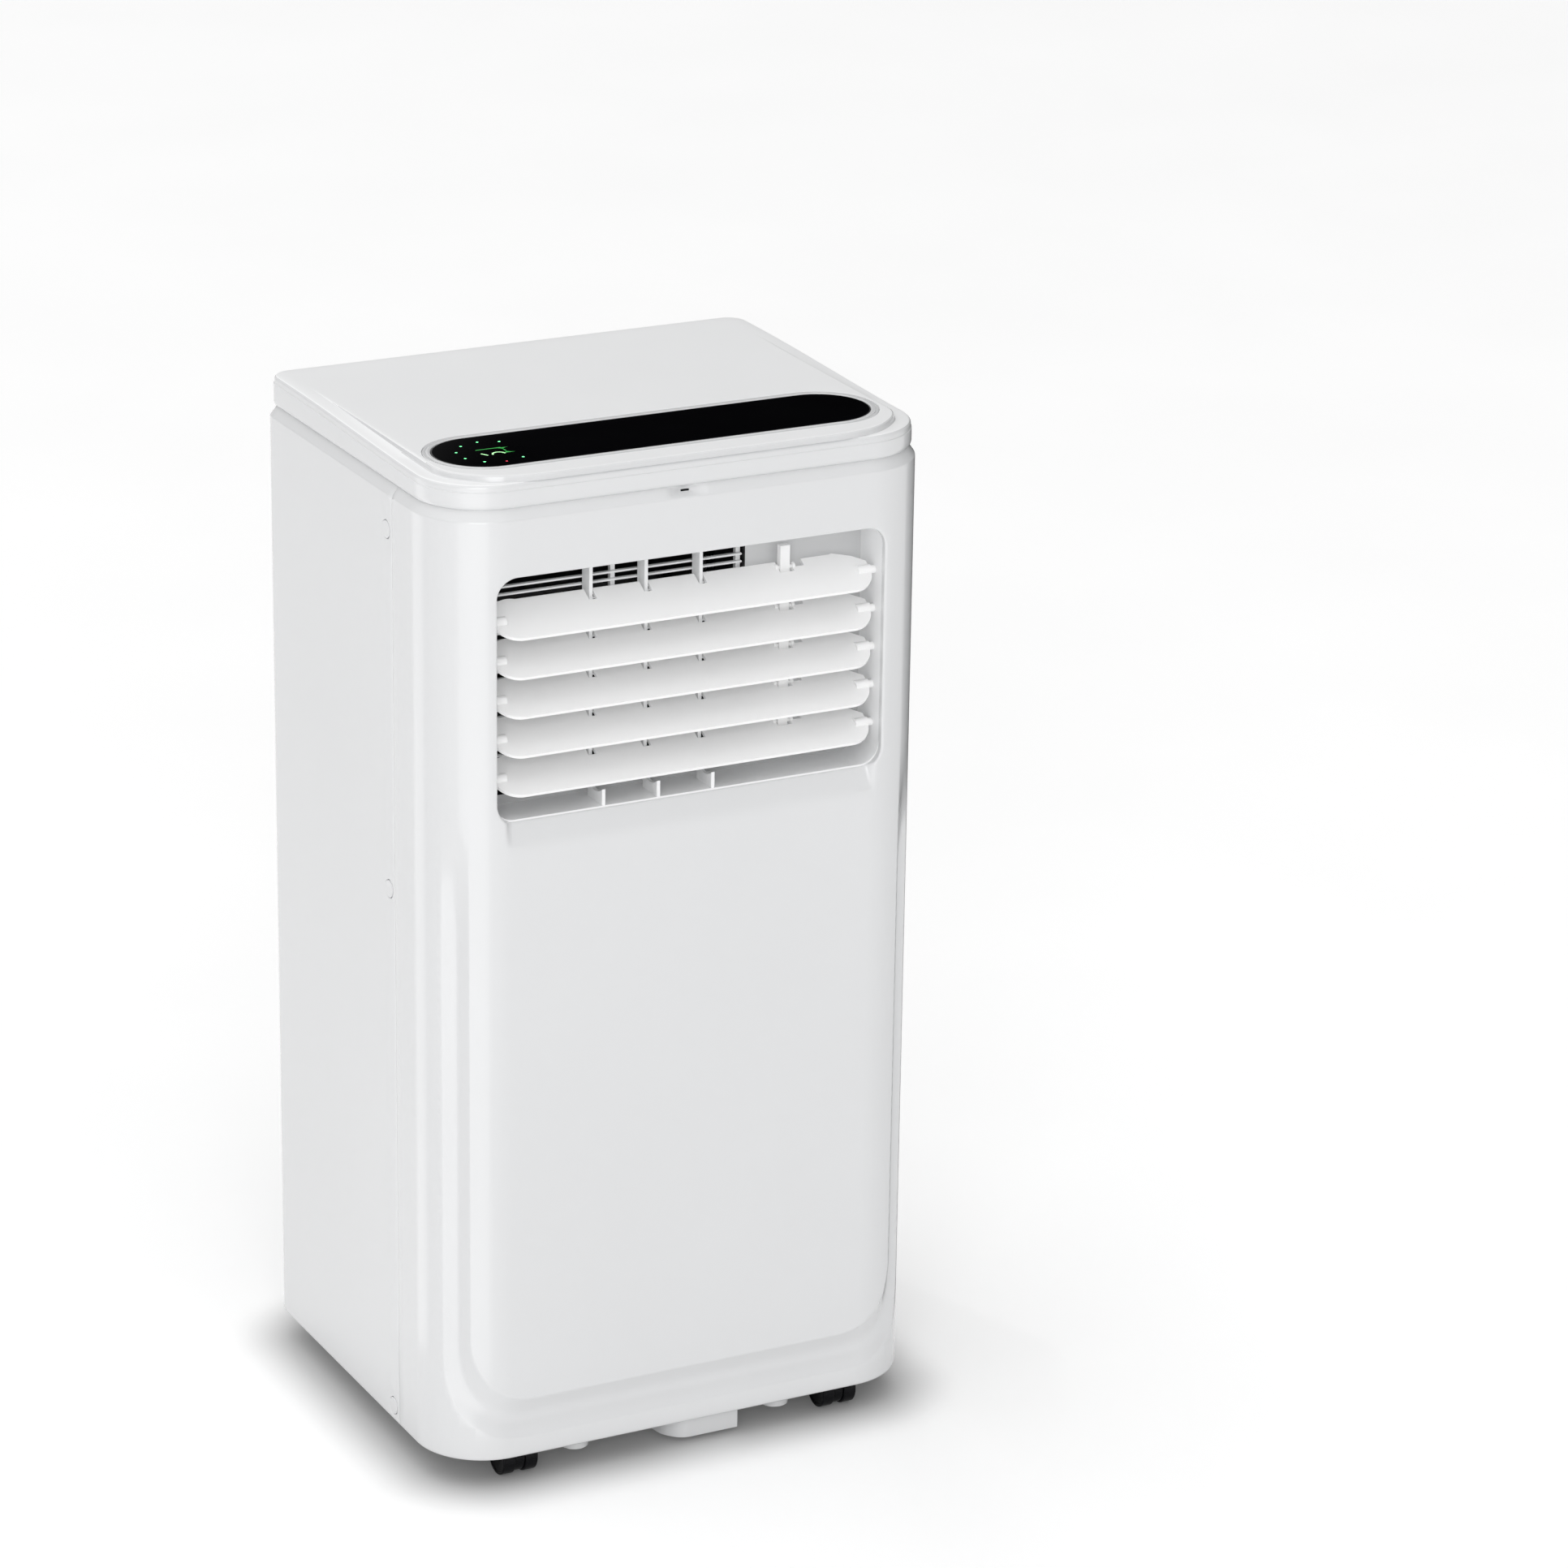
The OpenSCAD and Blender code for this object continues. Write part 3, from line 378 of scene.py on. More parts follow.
def triangulated(closed_lines, open_lines, grid, keep_off, inside):
    """Triangles of the plane that follow every line; grid points within keep_off of a line are left out."""
    points, edges, cells = [], [], {}

    def cell(p):
        return int(p[0] // keep_off), int(p[1] // keep_off)

    def add(p):
        points.append(Vector(p))
        cells.setdefault(cell(p), []).append(p)
        return len(points) - 1

    for line in closed_lines:
        ids = [add(p) for p in line]
        edges += [(ids[i], ids[(i + 1) % len(ids)]) for i in range(len(ids))]
    for line in open_lines:
        ids = [add(p) for p in line]
        edges += [(ids[i], ids[i + 1]) for i in range(len(ids) - 1)]
    for p in grid:
        cx, cz = cell(p)
        near = [q for i in (-1, 0, 1) for j in (-1, 0, 1) for q in cells.get((cx + i, cz + j), ())]
        if all(math.dist(p, q) > keep_off for q in near):
            add(p)
    verts, _, faces, *_ = delaunay_2d_cdt(points, edges, [], 0, 1e-5)
    kept = []
    for f in faces:
        c = sum((verts[i] for i in f), Vector((0, 0))) / len(f)
        if inside(c[0], c[1]):
            kept.append(f)
    return verts, kept


def thick_skin(name, verts, faces, place, material, thickness):
    """Lays flat triangles on the cabinet, merges them to quads and gives the skin its thickness."""
    obj = new_object(name, [place(v[0], v[1]) for v in verts], faces, material)
    bm = bmesh.new()
    bm.from_mesh(obj.data)
    loose = [v for v in bm.verts if not v.link_faces]
    bmesh.ops.delete(bm, geom=loose, context="VERTS")
    bmesh.ops.remove_doubles(bm, verts=bm.verts, dist=0.00001)
    bmesh.ops.recalc_face_normals(bm, faces=bm.faces)
    lean = 0.0
    for f in bm.faces:
        middle = f.calc_center_median()
        lean += f.normal.dot(middle - Vector((0, cabinet_mid_y * MM, middle.z)))
    if lean < 0:
        bmesh.ops.reverse_faces(bm, faces=bm.faces)
    bmesh.ops.join_triangles(bm, faces=bm.faces, angle_face_threshold=math.radians(4),
                             angle_shape_threshold=math.radians(50))
    bm.to_mesh(obj.data)
    bm.free()
    mod = obj.modifiers.new("wall", "SOLIDIFY")
    mod.thickness = thickness * MM
    mod.offset = -1
    mod.use_even_offset = False
    apply_modifiers(obj)
    return obj


# ---- Depth of the covers' features under the plain outline ----
U_OUT = dict(a=164.8, z=31.0, r=50.0)
U_IN = dict(a=146.7, z=56.5, r=42.0)
u_top = 446.0
u_full = 350.0
u_depth = 4.4
u_deepest = 0.54   # where across the groove its floor is deepest
u_steps = (0.0, 0.06, 0.14, 0.25, 0.38, 0.46, u_deepest, 0.64, 0.74, 0.84, 0.91, 0.96, 1.0, 1.04, 1.09)
opening = dict(a=129.0, z0=435.0, z1=588.5, r=13.0)
ramp_foot_z = 420.3   # the slope that leads up to the opening's lower edge
ramp_depth = 5.0
ramp_half = 124.5
ramp_top_z = 445.0
lip_r = 1.4
notch_a = -5.0        # the scoop over the remote control's receiver
notch_half = 13.0
notch_deep = 3.6


def u_inside(shape, a, z):
    """How far (a, z) lies inside a U outline that is open at the top."""
    qx = abs(a) - (shape["a"] - shape["r"])
    qz = shape["z"] + shape["r"] - z
    return shape["r"] - math.hypot(max(qx, 0), max(qz, 0)) - min(max(qx, qz), 0)


def groove_depth(a, z):
    outer = u_inside(U_OUT, a, z)
    inner = -u_inside(U_IN, a, z)
    if outer <= 0 or inner <= 0:
        return 0.0
    s = outer / (outer + inner)
    fade = smooth((u_top - z) / (u_top - u_full))
    if s < u_deepest:
        return u_depth * fade * math.sin(math.pi / 2 * s / u_deepest)
    return u_depth * fade * (1 - ((s - u_deepest) / (1 - u_deepest)) ** 1.3)


def shoulder_depth(z):
    t = z - shoulder_z
    soft = 0.6
    slope = groove_in / (groove_foot_z - shoulder_z)
    if t < -soft:
        return 0.0
    if t < soft:
        return slope * (t + soft) ** 2 / (4 * soft)
    return slope * t


def foot_depth(z, r=1.6):
    t = z - bottom_z
    return r - math.sqrt(max(0.0, r * r - (r - t) ** 2)) if t < r else 0.0


def opening_outside(a, z):
    """How far (a, z) lies outside the outlet opening."""
    cz = (opening["z0"] + opening["z1"]) / 2
    qx = abs(a) - (opening["a"] - opening["r"])
    qz = abs(z - cz) - ((opening["z1"] - opening["z0"]) / 2 - opening["r"])
    return math.hypot(max(qx, 0), max(qz, 0)) + min(max(qx, qz), 0) - opening["r"]


def ramp_level(a, z):
    """Depth of the slope under the opening at (a, z)."""
    if z >= ramp_top_z:
        return 0.0
    wide = smooth((ramp_half - abs(a)) / 5.0)
    rise = (z - ramp_foot_z) / (opening["z0"] - ramp_foot_z)
    return ramp_depth * wide * min(max(rise, 0.0), 1.0)


def lip_depth(t):
    return lip_r - math.sqrt(max(0.0, lip_r ** 2 - (lip_r - t) ** 2)) if t < lip_r else 0.0


def notch_depth(a, z):
    wide = max(0.0, 1 - ((a - notch_a) / notch_half) ** 2)
    along = smooth((z - shoulder_z) / 2.0) * smooth((groove_foot_z + 0.6 - z) / 3.0)
    return notch_deep * wide ** 1.5 * along


def seam_depth(t):
    """Depth of the small rounding at distance t from the seam between the covers."""
    return seam_dip * (1 - t / edge_t) if t < edge_t else 0.0


def front_place(a, z):
    depth = groove_depth(a, z) + shoulder_depth(z) + foot_depth(z) + ramp_level(a, z)
    depth += lip_depth(max(0.0, opening_outside(a, z))) + notch_depth(a, z) + seam_depth(seam_a - abs(a))
    x, y = plan_point(a, depth)
    return x, y, z


def u_line(s):
    """A line of the groove, from the outer outline at s = 0 to the inner one at s = 1."""
    mix = {k: U_OUT[k] + (U_IN[k] - U_OUT[k]) * s for k in U_OUT}
    right = [(mix["a"], z) for z in span(mix["z"] + mix["r"], u_top, 8.0)][::-1]
    bend = []
    for k in range(1, 25):
        t = math.radians(-90 * k / 24)
        bend.append((mix["a"] - mix["r"] + mix["r"] * math.cos(t),
                     mix["z"] + mix["r"] + mix["r"] * math.sin(t)))
    half = right + bend
    flat_end = mix["a"] - mix["r"]
    flat = [(x, mix["z"]) for x in span(flat_end, -flat_end, -12.0)][1:-1]
    return half + flat + [(-x, z) for x, z in reversed(half)]


# ---- Front cover ----
def on_front(a, z):
    in_outline = abs(a) <= seam_a and bottom_z <= z <= groove_foot_z
    return in_outline and opening_outside(a, z) > -0.001 and not in_slot(a, z)


receiver_slot = (notch_a - 2.9, shoulder_z + 2.5, notch_a + 2.9, shoulder_z + 3.6)


def in_slot(a, z):
    x0, z0, x1, z1 = receiver_slot
    return x0 + 0.02 < a < x1 - 0.02 and z0 + 0.02 < z < z1 - 0.02


def opening_path(t):
    o = opening
    return rounded_box_path(-o["a"] - t, o["z0"] - t, o["a"] + t, o["z1"] + t, o["r"] + t, 6.0, 14)


def build_front_cover():
    low_rows = [bottom_z + t for t in edge_rows]
    top_rows = [shoulder_z + t for t in (-1.2, -0.6, -0.2, 0.2, 0.6, 2.6, 4.6)]
    closed = [opening_path(t) for t in (0.0, 0.25, 0.7, 1.4)]
    x0, z0, x1, z1 = receiver_slot
    closed.append(rounded_box_path(x0, z0, x1, z1, 0.85, 2.0, 5))
    frame_line = [(-seam_a, bottom_z), (seam_a, bottom_z), (seam_a, groove_foot_z), (-seam_a, groove_foot_z)]
    closed.append(cut_path(frame_line, 4.0, closed=True))
    lines = [u_line(s) for s in u_steps]
    for z in low_rows + top_rows:
        lines.append([(a, z) for a in span(-seam_a + edge_t, seam_a - edge_t, 4.0)])
    for sign in (-1, 1):
        lines.append([(sign * (seam_a - edge_t), z) for z in span(bottom_z + 3, shoulder_z - 2, 8.0)])
        lines.append([(sign * side_a, z) for z in span(bottom_z + 3.5, shoulder_z - 2, 8.0)])
    lines.append([(a, ramp_foot_z) for a in span(-ramp_half, ramp_half, 4.0)])
    columns = span(-corner_a, corner_a, 12.0)
    corner_columns = span(corner_a, side_a, 2.4)[1:]
    side_columns = span(side_a, seam_a, 9.0)[1:]
    for group in (corner_columns, side_columns):
        columns += group + [-a for a in group]
    grid = [(a, z) for a in columns for z in span(bottom_z + 4, shoulder_z - 4, 9.0)]
    grid += [(a, z) for a in span(-20, 10, 1.6) for z in span(shoulder_z, groove_foot_z, 0.9)]
    ramp_ends = [(a, z) for a in span(114, 126, 1.2) for z in span(ramp_foot_z, 437, 1.8)]
    grid += [(s * a, z) for s in (-1, 1) for a, z in ramp_ends]
    verts, faces = triangulated(closed, lines, grid, 1.1, on_front)
    obj = thick_skin("front_cover_shell", verts, faces, front_place, WHITE, skin_t)
    shade(obj, 38)
    join([obj, build_opening_return()])
    stand_for(obj, "white_plastic", "front_cover")
    return obj


def build_opening_return():
    """The opening's edge turned back to the outlet frame, so no gap shows beside it."""
    edge = opening_path(0.0)
    start = [front_place(a, z)[1] for a, z in edge]
    rings = []
    for share in (0.0, 0.15, 1.0):
        rings.append([(a, y + (front_y + 6.4 - y) * share, z) for (a, z), y in zip(edge, start)])
    verts, faces = loft(rings)
    obj = new_object("opening_return", verts, faces, WHITE)
    clean(obj)
    point_outward(obj, Vector((0, 0, 0.512)), inward=True)
    give_wall(obj, 2.2)
    shade(obj, 38)
    return obj


def point_outward(obj, centre, inward=False):
    """Turns all faces so that they look away from centre, or towards it."""
    bm = bmesh.new()
    bm.from_mesh(obj.data)
    lean = sum(f.normal.dot(f.calc_center_median() - centre) for f in bm.faces)
    if (lean < 0) != inward:
        bmesh.ops.reverse_faces(bm, faces=bm.faces)
    bm.to_mesh(obj.data)
    bm.free()


# ---- Rear cover: the same outline carried round the sides and the back ----
def rear_x(x):
    """Arc position of a point on the rear face at x."""
    return rear_a + (half_w - rear_r - x)


grille_boxes = {name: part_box(name) for name in ("upper_grille", "lower_grille")}
exhaust_low, exhaust_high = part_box("exhaust_collar")
exhaust_x = (exhaust_low[0] + exhaust_high[0]) / 2 / MM
exhaust_z = (exhaust_low[2] + exhaust_high[2]) / 2 / MM


def window_of(name, margin=0.3):
    low, high = ([c / MM for c in corner] for corner in grille_boxes[name])
    return rear_x(high[0] + margin), low[2] - margin, rear_x(low[0] - margin), high[2] + margin


def middle_of(name):
    low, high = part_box(name)
    return (low[0] + high[0]) / 2 / MM, (low[2] + high[2]) / 2 / MM


exhaust_hole_r = 65.3
fitting_holes = {"upper_drain_plug": 8.5, "lower_drain_plug": 8.5, "cord_gland": 9.0}
seam_screw_y, seam_screw_r, seam_screw_zs = -59, 5.6, (28, 374, 602)


def round_holes():
    """Arc position, height and radius of every round hole in the rear cover."""
    holes = [(rear_x(exhaust_x), exhaust_z, exhaust_hole_r)]
    for name, r in fitting_holes.items():
        x, z = middle_of(name)
        holes.append((rear_x(x), z, r))
    a = side_a + seam_screw_y - (front_y + front_r)
    for z in seam_screw_zs:
        holes += [(a, z, seam_screw_r), (round_a - a, z, seam_screw_r)]
    return holes


grip_half, grip_z0, grip_z1, grip_r = 60, 574, 608, 8.0
grip = (rear_x(grip_half), grip_z0, rear_x(-grip_half), grip_z1)


def build_rear_cover():
    windows = [window_of(n) for n in grille_boxes]
    holes = round_holes()
    lip_steps = (0.0, 0.3, 0.8, 1.4)

    def outside_all(a, z):
        d = 99.0
        for x0, z0, x1, z1 in windows + [grip]:
            r = grip_r
            qx = abs(a - (x0 + x1) / 2) - ((x1 - x0) / 2 - r)
            qz = abs(z - (z0 + z1) / 2) - ((z1 - z0) / 2 - r)
            d = min(d, math.hypot(max(qx, 0), max(qz, 0)) + min(max(qx, qz), 0) - r)
        for ca, cz, r in holes:
            d = min(d, math.hypot(a - ca, z - cz) - r)
        return d

    low_a, high_a = seam_a + 0.15, round_a - seam_a - 0.15

    def place(a, z):
        t = min(a - low_a, high_a - a)
        depth = shoulder_depth(z) + foot_depth(z) + seam_depth(t)
        d = max(0.0, outside_all(a, z))
        depth += 0.7 * lip_depth(d)
        x, y = plan_point(a, depth)
        return x, y, z

    def inside(a, z):
        return low_a <= a <= high_a and bottom_z <= z <= groove_foot_z and outside_all(a, z) > -0.001

    closed = []
    for x0, z0, x1, z1 in windows + [grip]:
        closed += [rounded_box_path(x0 - t, z0 - t, x1 + t, z1 + t, grip_r + t) for t in lip_steps]
    for ca, cz, r in holes:
        n = 96 if r > 20 else 28
        steps = lip_steps if r > 6 else (0.0, 0.4)
        closed += [circle_path(ca, cz, r + t, n) for t in steps]
    edge = [(low_a, bottom_z), (high_a, bottom_z), (high_a, groove_foot_z), (low_a, groove_foot_z)]
    closed.append(cut_path(edge, 5.0, closed=True))
    lines = []
    top_rows = [shoulder_z + t for t in (-1.2, -0.6, -0.2, 0.2, 0.6, 3.4)]
    for z in [bottom_z + t for t in edge_rows] + top_rows:
        lines.append([(a, z) for a in span(low_a + edge_t, high_a - edge_t, 5.0)])
    for a in (low_a + edge_t, high_a - edge_t):
        lines.append([(a, z) for z in span(bottom_z + 3.4, shoulder_z - 2, 9.0)])
    columns = span(low_a, rear_corner_a, 14.0) + span(rear_corner_a, rear_a, 1.5)
    columns += span(rear_a, round_a - rear_a, 11.0)[1:-1]
    columns += [round_a - a for a in span(rear_corner_a, rear_a, 1.5) + span(low_a, rear_corner_a, 14.0)]
    grid = [(a, z) for a in columns for z in span(bottom_z + 4, shoulder_z - 4, 10.0)]
    verts, faces = triangulated(closed, lines, grid, 1.0, inside)
    obj = thick_skin("rear_cover_shell", verts, faces, place, WHITE, skin_t)
    shade(obj, 38)
    join([obj, build_grip_pocket()])
    stand_for(obj, "white_plastic", "rear_cover")
    return obj


def join(objs):
    with bpy.context.temp_override(active_object=objs[0], selected_editable_objects=objs,
                                   selected_objects=objs):
        bpy.ops.object.join()


def loft(rings, close_ends=(False, False)):
    """Faces between rings of equal length; returns verts and faces."""
    n = len(rings[0])
    verts = [p for ring in rings for p in ring]
    faces = []
    for i in range(len(rings) - 1):
        for k in range(n):
            j = (k + 1) % n
            faces.append((i * n + k, i * n + j, (i + 1) * n + j, (i + 1) * n + k))
    if close_ends[0]:
        faces.append(tuple(range(n))[::-1])
    if close_ends[1]:
        faces.append(tuple((len(rings) - 1) * n + k for k in range(n)))
    return verts, faces


def build_grip_pocket():
    """Moulded finger pocket behind the rear face, its back wall rounded into its sides."""
    rings = []
    for y, t in ((rear_y - 0.6, 0.0), (rear_y - 2.5, 0.2), (rear_y - 12, 0.6), (rear_y - 21, 1.2),
                 (rear_y - 25, 3.0), (rear_y - 27, 6.5)):
        ring = rounded_box_path(-grip_half + t, grip_z0 + t, grip_half - t, grip_z1 - t,
                                max(grip_r - t * 0.3, 4.0), 10.0, 8)
        rings.append([(x, y, z) for x, z in ring])
    count = min(len(r) for r in rings)
    rings = [[r[round(k * len(r) / count) % len(r)] for k in range(count)] for r in rings]
    verts, faces = loft(rings, (False, True))
    obj = new_object("grip_pocket_skin", verts, faces, WHITE)
    give_wall(obj, 2.4, 1)
    shade(obj, 40)
    return obj


# ---- Lid: plan outline moved in, then rings up the side and over the plateau ----
lid_top_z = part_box("top_lid")[1][2] / MM
display_low, display_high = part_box("display_glass")
display_y = (display_low[1] + display_high[1]) / 2 / MM
display_r = (display_high[1] - display_low[1]) / 2 / MM
display_hx = display_high[0] / MM - display_r
bezel_w = 5.0
rim_drop, rim_r = 3.5, 2.2   # the plateau's height over the rim at the front, and the rim's rounding
lid_side_in = 2.4


def outline_ring(depth, z):
    """The cabinet outline moved in by depth(a), as a closed ring; depth and z(y) may also be numbers."""
    stops = span(-corner_a, corner_a, 8.0)
    stops += span(corner_a, side_a, 2.4)[1:] + span(side_a, rear_corner_a, 8.0)[1:]
    stops += span(rear_corner_a, rear_a, 1.6)[1:] + span(rear_a, round_a - rear_a, 8.0)[1:]
    stops += [round_a - a for a in reversed(span(rear_corner_a, rear_a, 1.6)[:-1])]
    stops += [round_a - a for a in reversed(span(side_a, rear_corner_a, 8.0)[:-1])]
    stops += [round_a - a for a in reversed(span(corner_a, side_a, 2.4)[1:-1])]
    ring = []
    for a in stops:
        d = depth(a) if callable(depth) else depth
        x, y = plan_point(a, d)
        ring.append((x, y, z(y) if callable(z) else z))
    return ring


def fade_to_rear(y):
    """1 at the front of the lid, 0 at the rear, for the step that dies out."""
    return smooth((95.0 - y) / 200.0)


def stadium_ring(r, z, n=24):
    ring = []
    for sign in (1, -1):
        for k in range(n + 1):
            t = math.radians(-90 + 180 * k / n) if sign > 0 else math.radians(90 + 180 * k / n)
            ring.append((sign * display_hx + r * math.cos(t), display_y + r * math.sin(t), z))
        if sign > 0:
            ring += [(display_hx - 2 * display_hx * k / 36, display_y + r, z) for k in range(1, 36)]
        else:
            ring += [(-display_hx + 2 * display_hx * k / 36, display_y - r, z) for k in range(1, 36)]
    return ring


def step_inset(a):
    """How far the plateau's edge lies inside the lid's side: wide at the sides, narrow at the front."""
    x, y = plan_point(a, 0)
    front_share = smooth((abs(x) - 95.0) / 60.0) if y < -60 else 1.0
    return 3.4 + 9.6 * front_share


def rim_step(y):
    """How far the plateau stands over the lid's rim."""
    return rim_drop * fade_to_rear(y)


def rim_z(y):
    return lid_top_z - rim_step(y)


def crease(y):
    """Height of the fine line that runs round the lid's side."""
    return rim_z(y) - 5.0


def lid_side_rings():
    side = lid_side_in
    rings = [outline_ring(9.0, groove_foot_z - 0.6), outline_ring(5.4, groove_foot_z - 0.6),
             outline_ring(4.55, groove_foot_z - 0.1), outline_ring(3.5, groove_foot_z + 0.45),
             outline_ring(2.8, groove_foot_z + 1.4), outline_ring(side, groove_foot_z + 2.9)]
    for share in (0.3, 0.6):
        rings.append(outline_ring(side, lambda y, s=share: (1 - s) * (groove_foot_z + 2.9) + s * crease(y)))
    rings.append(outline_ring(side, crease))
    rings.append(outline_ring(side + 0.05, lambda y: crease(y) + 0.3))
    rings.append(outline_ring(side + 0.55, lambda y: crease(y) + 0.7))
    rings.append(outline_ring(side + 0.6, lambda y: rim_z(y) - rim_r))
    for k in range(1, 6):
        t = math.radians(18 * k)
        inset = side + 0.6 + rim_r * (1 - math.cos(t))
        rings.append(outline_ring(inset, lambda y, t=t: rim_z(y) - rim_r * (1 - math.sin(t))))
    return rings


def build_lid_piece():
    rings = lid_side_rings()
    rings.append(outline_ring(lambda a: step_inset(a) - 0.6, rim_z))
    for share_in, share_up in ((0.0, 0.12), (0.25, 0.5), (0.6, 0.85), (1.4, 0.99), (2.6, 1.0)):
        rings.append(outline_ring(lambda a, i=share_in: step_inset(a) + i,
                                  lambda y, u=share_up: rim_z(y) + rim_step(y) * u))
    verts, faces = loft(rings)
    last = rings[-1]
    inner = stadium_ring(display_r + bezel_w + 0.15, lid_top_z)
    lip = stadium_ring(display_r + bezel_w + 0.55, lid_top_z)
    obj = new_object("lid_shell", verts, faces, WHITE)
    top_verts, top_faces = flat_top([(p[0], p[1]) for p in last], [(p[0], p[1]) for p in lip])
    top = new_object("lid_top_face", [(x, y, lid_top_z) for x, y in top_verts], top_faces, LID_TOP_PAINTED_LIGHT)
    drops = [[(x, y, z - drop) for x, y, z in inner] for drop in (0.35, 4)]
    edge_verts, edge_faces = loft([lip] + drops)
    edge = new_object("lid_display_edge", edge_verts, edge_faces, WHITE)
    join([obj, top, edge])
    # The lid's upward faces get the paler copy: painted light on the top.
    lid_painted_light_index = list(obj.data.materials).index(LID_TOP_PAINTED_LIGHT)
    for face in obj.data.polygons:
        if face.normal.z > 0.86 and face.center.z > (lid_top_z - 8.0) * MM:
            face.material_index = lid_painted_light_index
    clean(obj, 0.00002)
    give_wall(obj, 2.2)
    shade(obj, 32)
    stand_for(obj, "white_plastic", "top_lid")
    return obj


def flat_top(outer, inner):
    """Triangles between the plateau's edge and the display's opening."""
    grid = [(x, y) for x in span(-150, 150, 15.0) for y in span(-130, 125, 15.0)]

    def inside(x, y):
        return point_in(x, y, outer) and not point_in(x, y, inner)

    verts, faces = triangulated([outer, inner], [], grid, 5.0, inside)
    return [(v[0], v[1]) for v in verts], faces


def point_in(x, y, loop):
    hit = False
    for i in range(len(loop)):
        (x1, y1), (x2, y2) = loop[i][:2], loop[(i + 1) % len(loop)][:2]
        if (y1 > y) != (y2 > y) and x < (x2 - x1) * (y - y1) / (y2 - y1) + x1:
            hit = not hit
    return hit


# ---- Display: bezel ring with two fine concentric lines, and the domed black glass ----
def build_bezel():
    top = lid_top_z
    profile = ((bezel_w, top - 6), (bezel_w, top - 0.3), (bezel_w - 0.3, top), (bezel_w - 1.5, top),
               (bezel_w - 1.65, top - 0.45), (bezel_w - 2.05, top - 0.45), (bezel_w - 2.2, top + 0.1),
               (bezel_w - 3.0, top + 0.25), (0.9, top + 0.25), (0.35, top + 0.1), (0.1, top - 0.5),
               (0.1, top - 6))
    rings = [stadium_ring(display_r + d, z) for d, z in profile]
    verts, faces = loft(rings + [rings[0]])
    obj = new_object("display_bezel_ring", verts, faces, WHITE)
    clean(obj)
    shade(obj, 30)
    stand_for(obj, "pale_plastic", "display_bezel")


def give_wall(obj, thickness, offset=-1):
    mod = obj.modifiers.new("wall", "SOLIDIFY")
    mod.thickness = thickness * MM
    mod.offset = offset
    apply_modifiers(obj)


def clean(obj, near=0.00001):
    """Merges the points that lie together and turns all faces the same way."""
    bm = bmesh.new()
    bm.from_mesh(obj.data)
    bmesh.ops.remove_doubles(bm, verts=bm.verts, dist=near)
    bmesh.ops.recalc_face_normals(bm, faces=bm.faces)
    bm.to_mesh(obj.data)
    bm.free()


build_front_cover()
build_rear_cover()
build_lid_piece()
build_bezel()


def build_glass():
    top = display_high[2] / MM
    low = display_low[2] / MM
    profile = ((0.0, low), (0.0, top - 0.5), (0.12, top - 0.2), (0.4, top - 0.04), (0.9, top))
    verts, faces = loft([stadium_ring(display_r - d, z) for d, z in profile], (True, True))
    obj = new_object("display_glass_pane", verts, faces, GLASS)
    clean(obj)
    shade(obj, 30)
    even_normals(obj)
    stand_for(obj, "black_glass", "display_glass")


# ---- The display's lights: a ring of dots about a lit readout ----
lights_x, lights_y, lights_r = -107.0, -83.5, 21.2
lights_z = display_high[2] / MM + 0.01
lights_t = 0.04


def lit_plate(outline, hole=None):
    """A thin lit plate with a flat face, as verts and faces of one closed solid."""
    rings = [[(x, y, z) for x, y in outline] for z in (lights_z, lights_z + lights_t)]
    if hole:
        inner = [[(x, y, z) for x, y in hole] for z in (lights_z + lights_t, lights_z)]
        return loft(rings + inner + [rings[0]])
    return loft(rings, (True, True))


def dot(cx, cy, r=0.8):
    return lit_plate(circle_path(cx, cy, r, 20))


def bar(cx, cy, length, width, angle=0.0):
    c, s = math.cos(math.radians(angle)), math.sin(math.radians(angle))
    points = rounded_box_path(-length / 2, -width / 2, length / 2, width / 2, width * 0.45, 4.0, 4)
    return lit_plate([(cx + c * x - s * y, cy + s * x + c * y) for x, y in points])


def half_ring(cx, cy, r, width):
    points = []
    for rr, turns in ((r + width / 2, range(0, 19)), (r - width / 2, range(18, -1, -1))):
        steps = [math.radians(10 * k) for k in turns]
        points += [(cx + rr * math.cos(t), cy + rr * math.sin(t)) for t in steps]
    return lit_plate(points)


def lit_piece(name, material, solids):
    verts, faces = [], []
    for v, f in solids:
        faces += [tuple(i + len(verts) for i in face) for face in f]
        verts += v
    obj = new_object(name, verts, faces, material)
    clean(obj)
    stand_for(obj, "lit_marks", "display_lights")


def build_lights():
    spots = [math.radians(54 + 36 * i) for i in range(8)]
    places = [(lights_x + lights_r * math.cos(t), lights_y + lights_r * math.sin(t)) for t in spots]
    red_one = 6
    lit_piece("light_dots", GREEN, [dot(x, y) for i, (x, y) in enumerate(places) if i != red_one])
    lit_piece("light_red_dot", RED, [dot(*places[red_one], 0.7)])
    lit_piece("light_corner_line", DIM_GREEN, [bar(lights_x + 0.2, lights_y + 6, 16.4, 0.8),
                                               bar(lights_x + 8.4, lights_y + 0.2, 0.8, 10.4)])
    lit_piece("light_readout", PALE_GREEN, [bar(lights_x - 6.5, lights_y - 3.8, 5.4, 1.1, -59),
                                            half_ring(lights_x + 2, lights_y - 6, 3.85, 1.1)])


build_glass()
build_lights()

# ---- Air outlet ----
for i in range(1, 6):
    softened(f"louvre_{i}", 0.4, BLADE, "white_plastic")
softened("louvre_link", 0.5, BLADE, "white_plastic")
softened("outlet_guard", 0.4, DUCT_WHITE, "white_plastic")

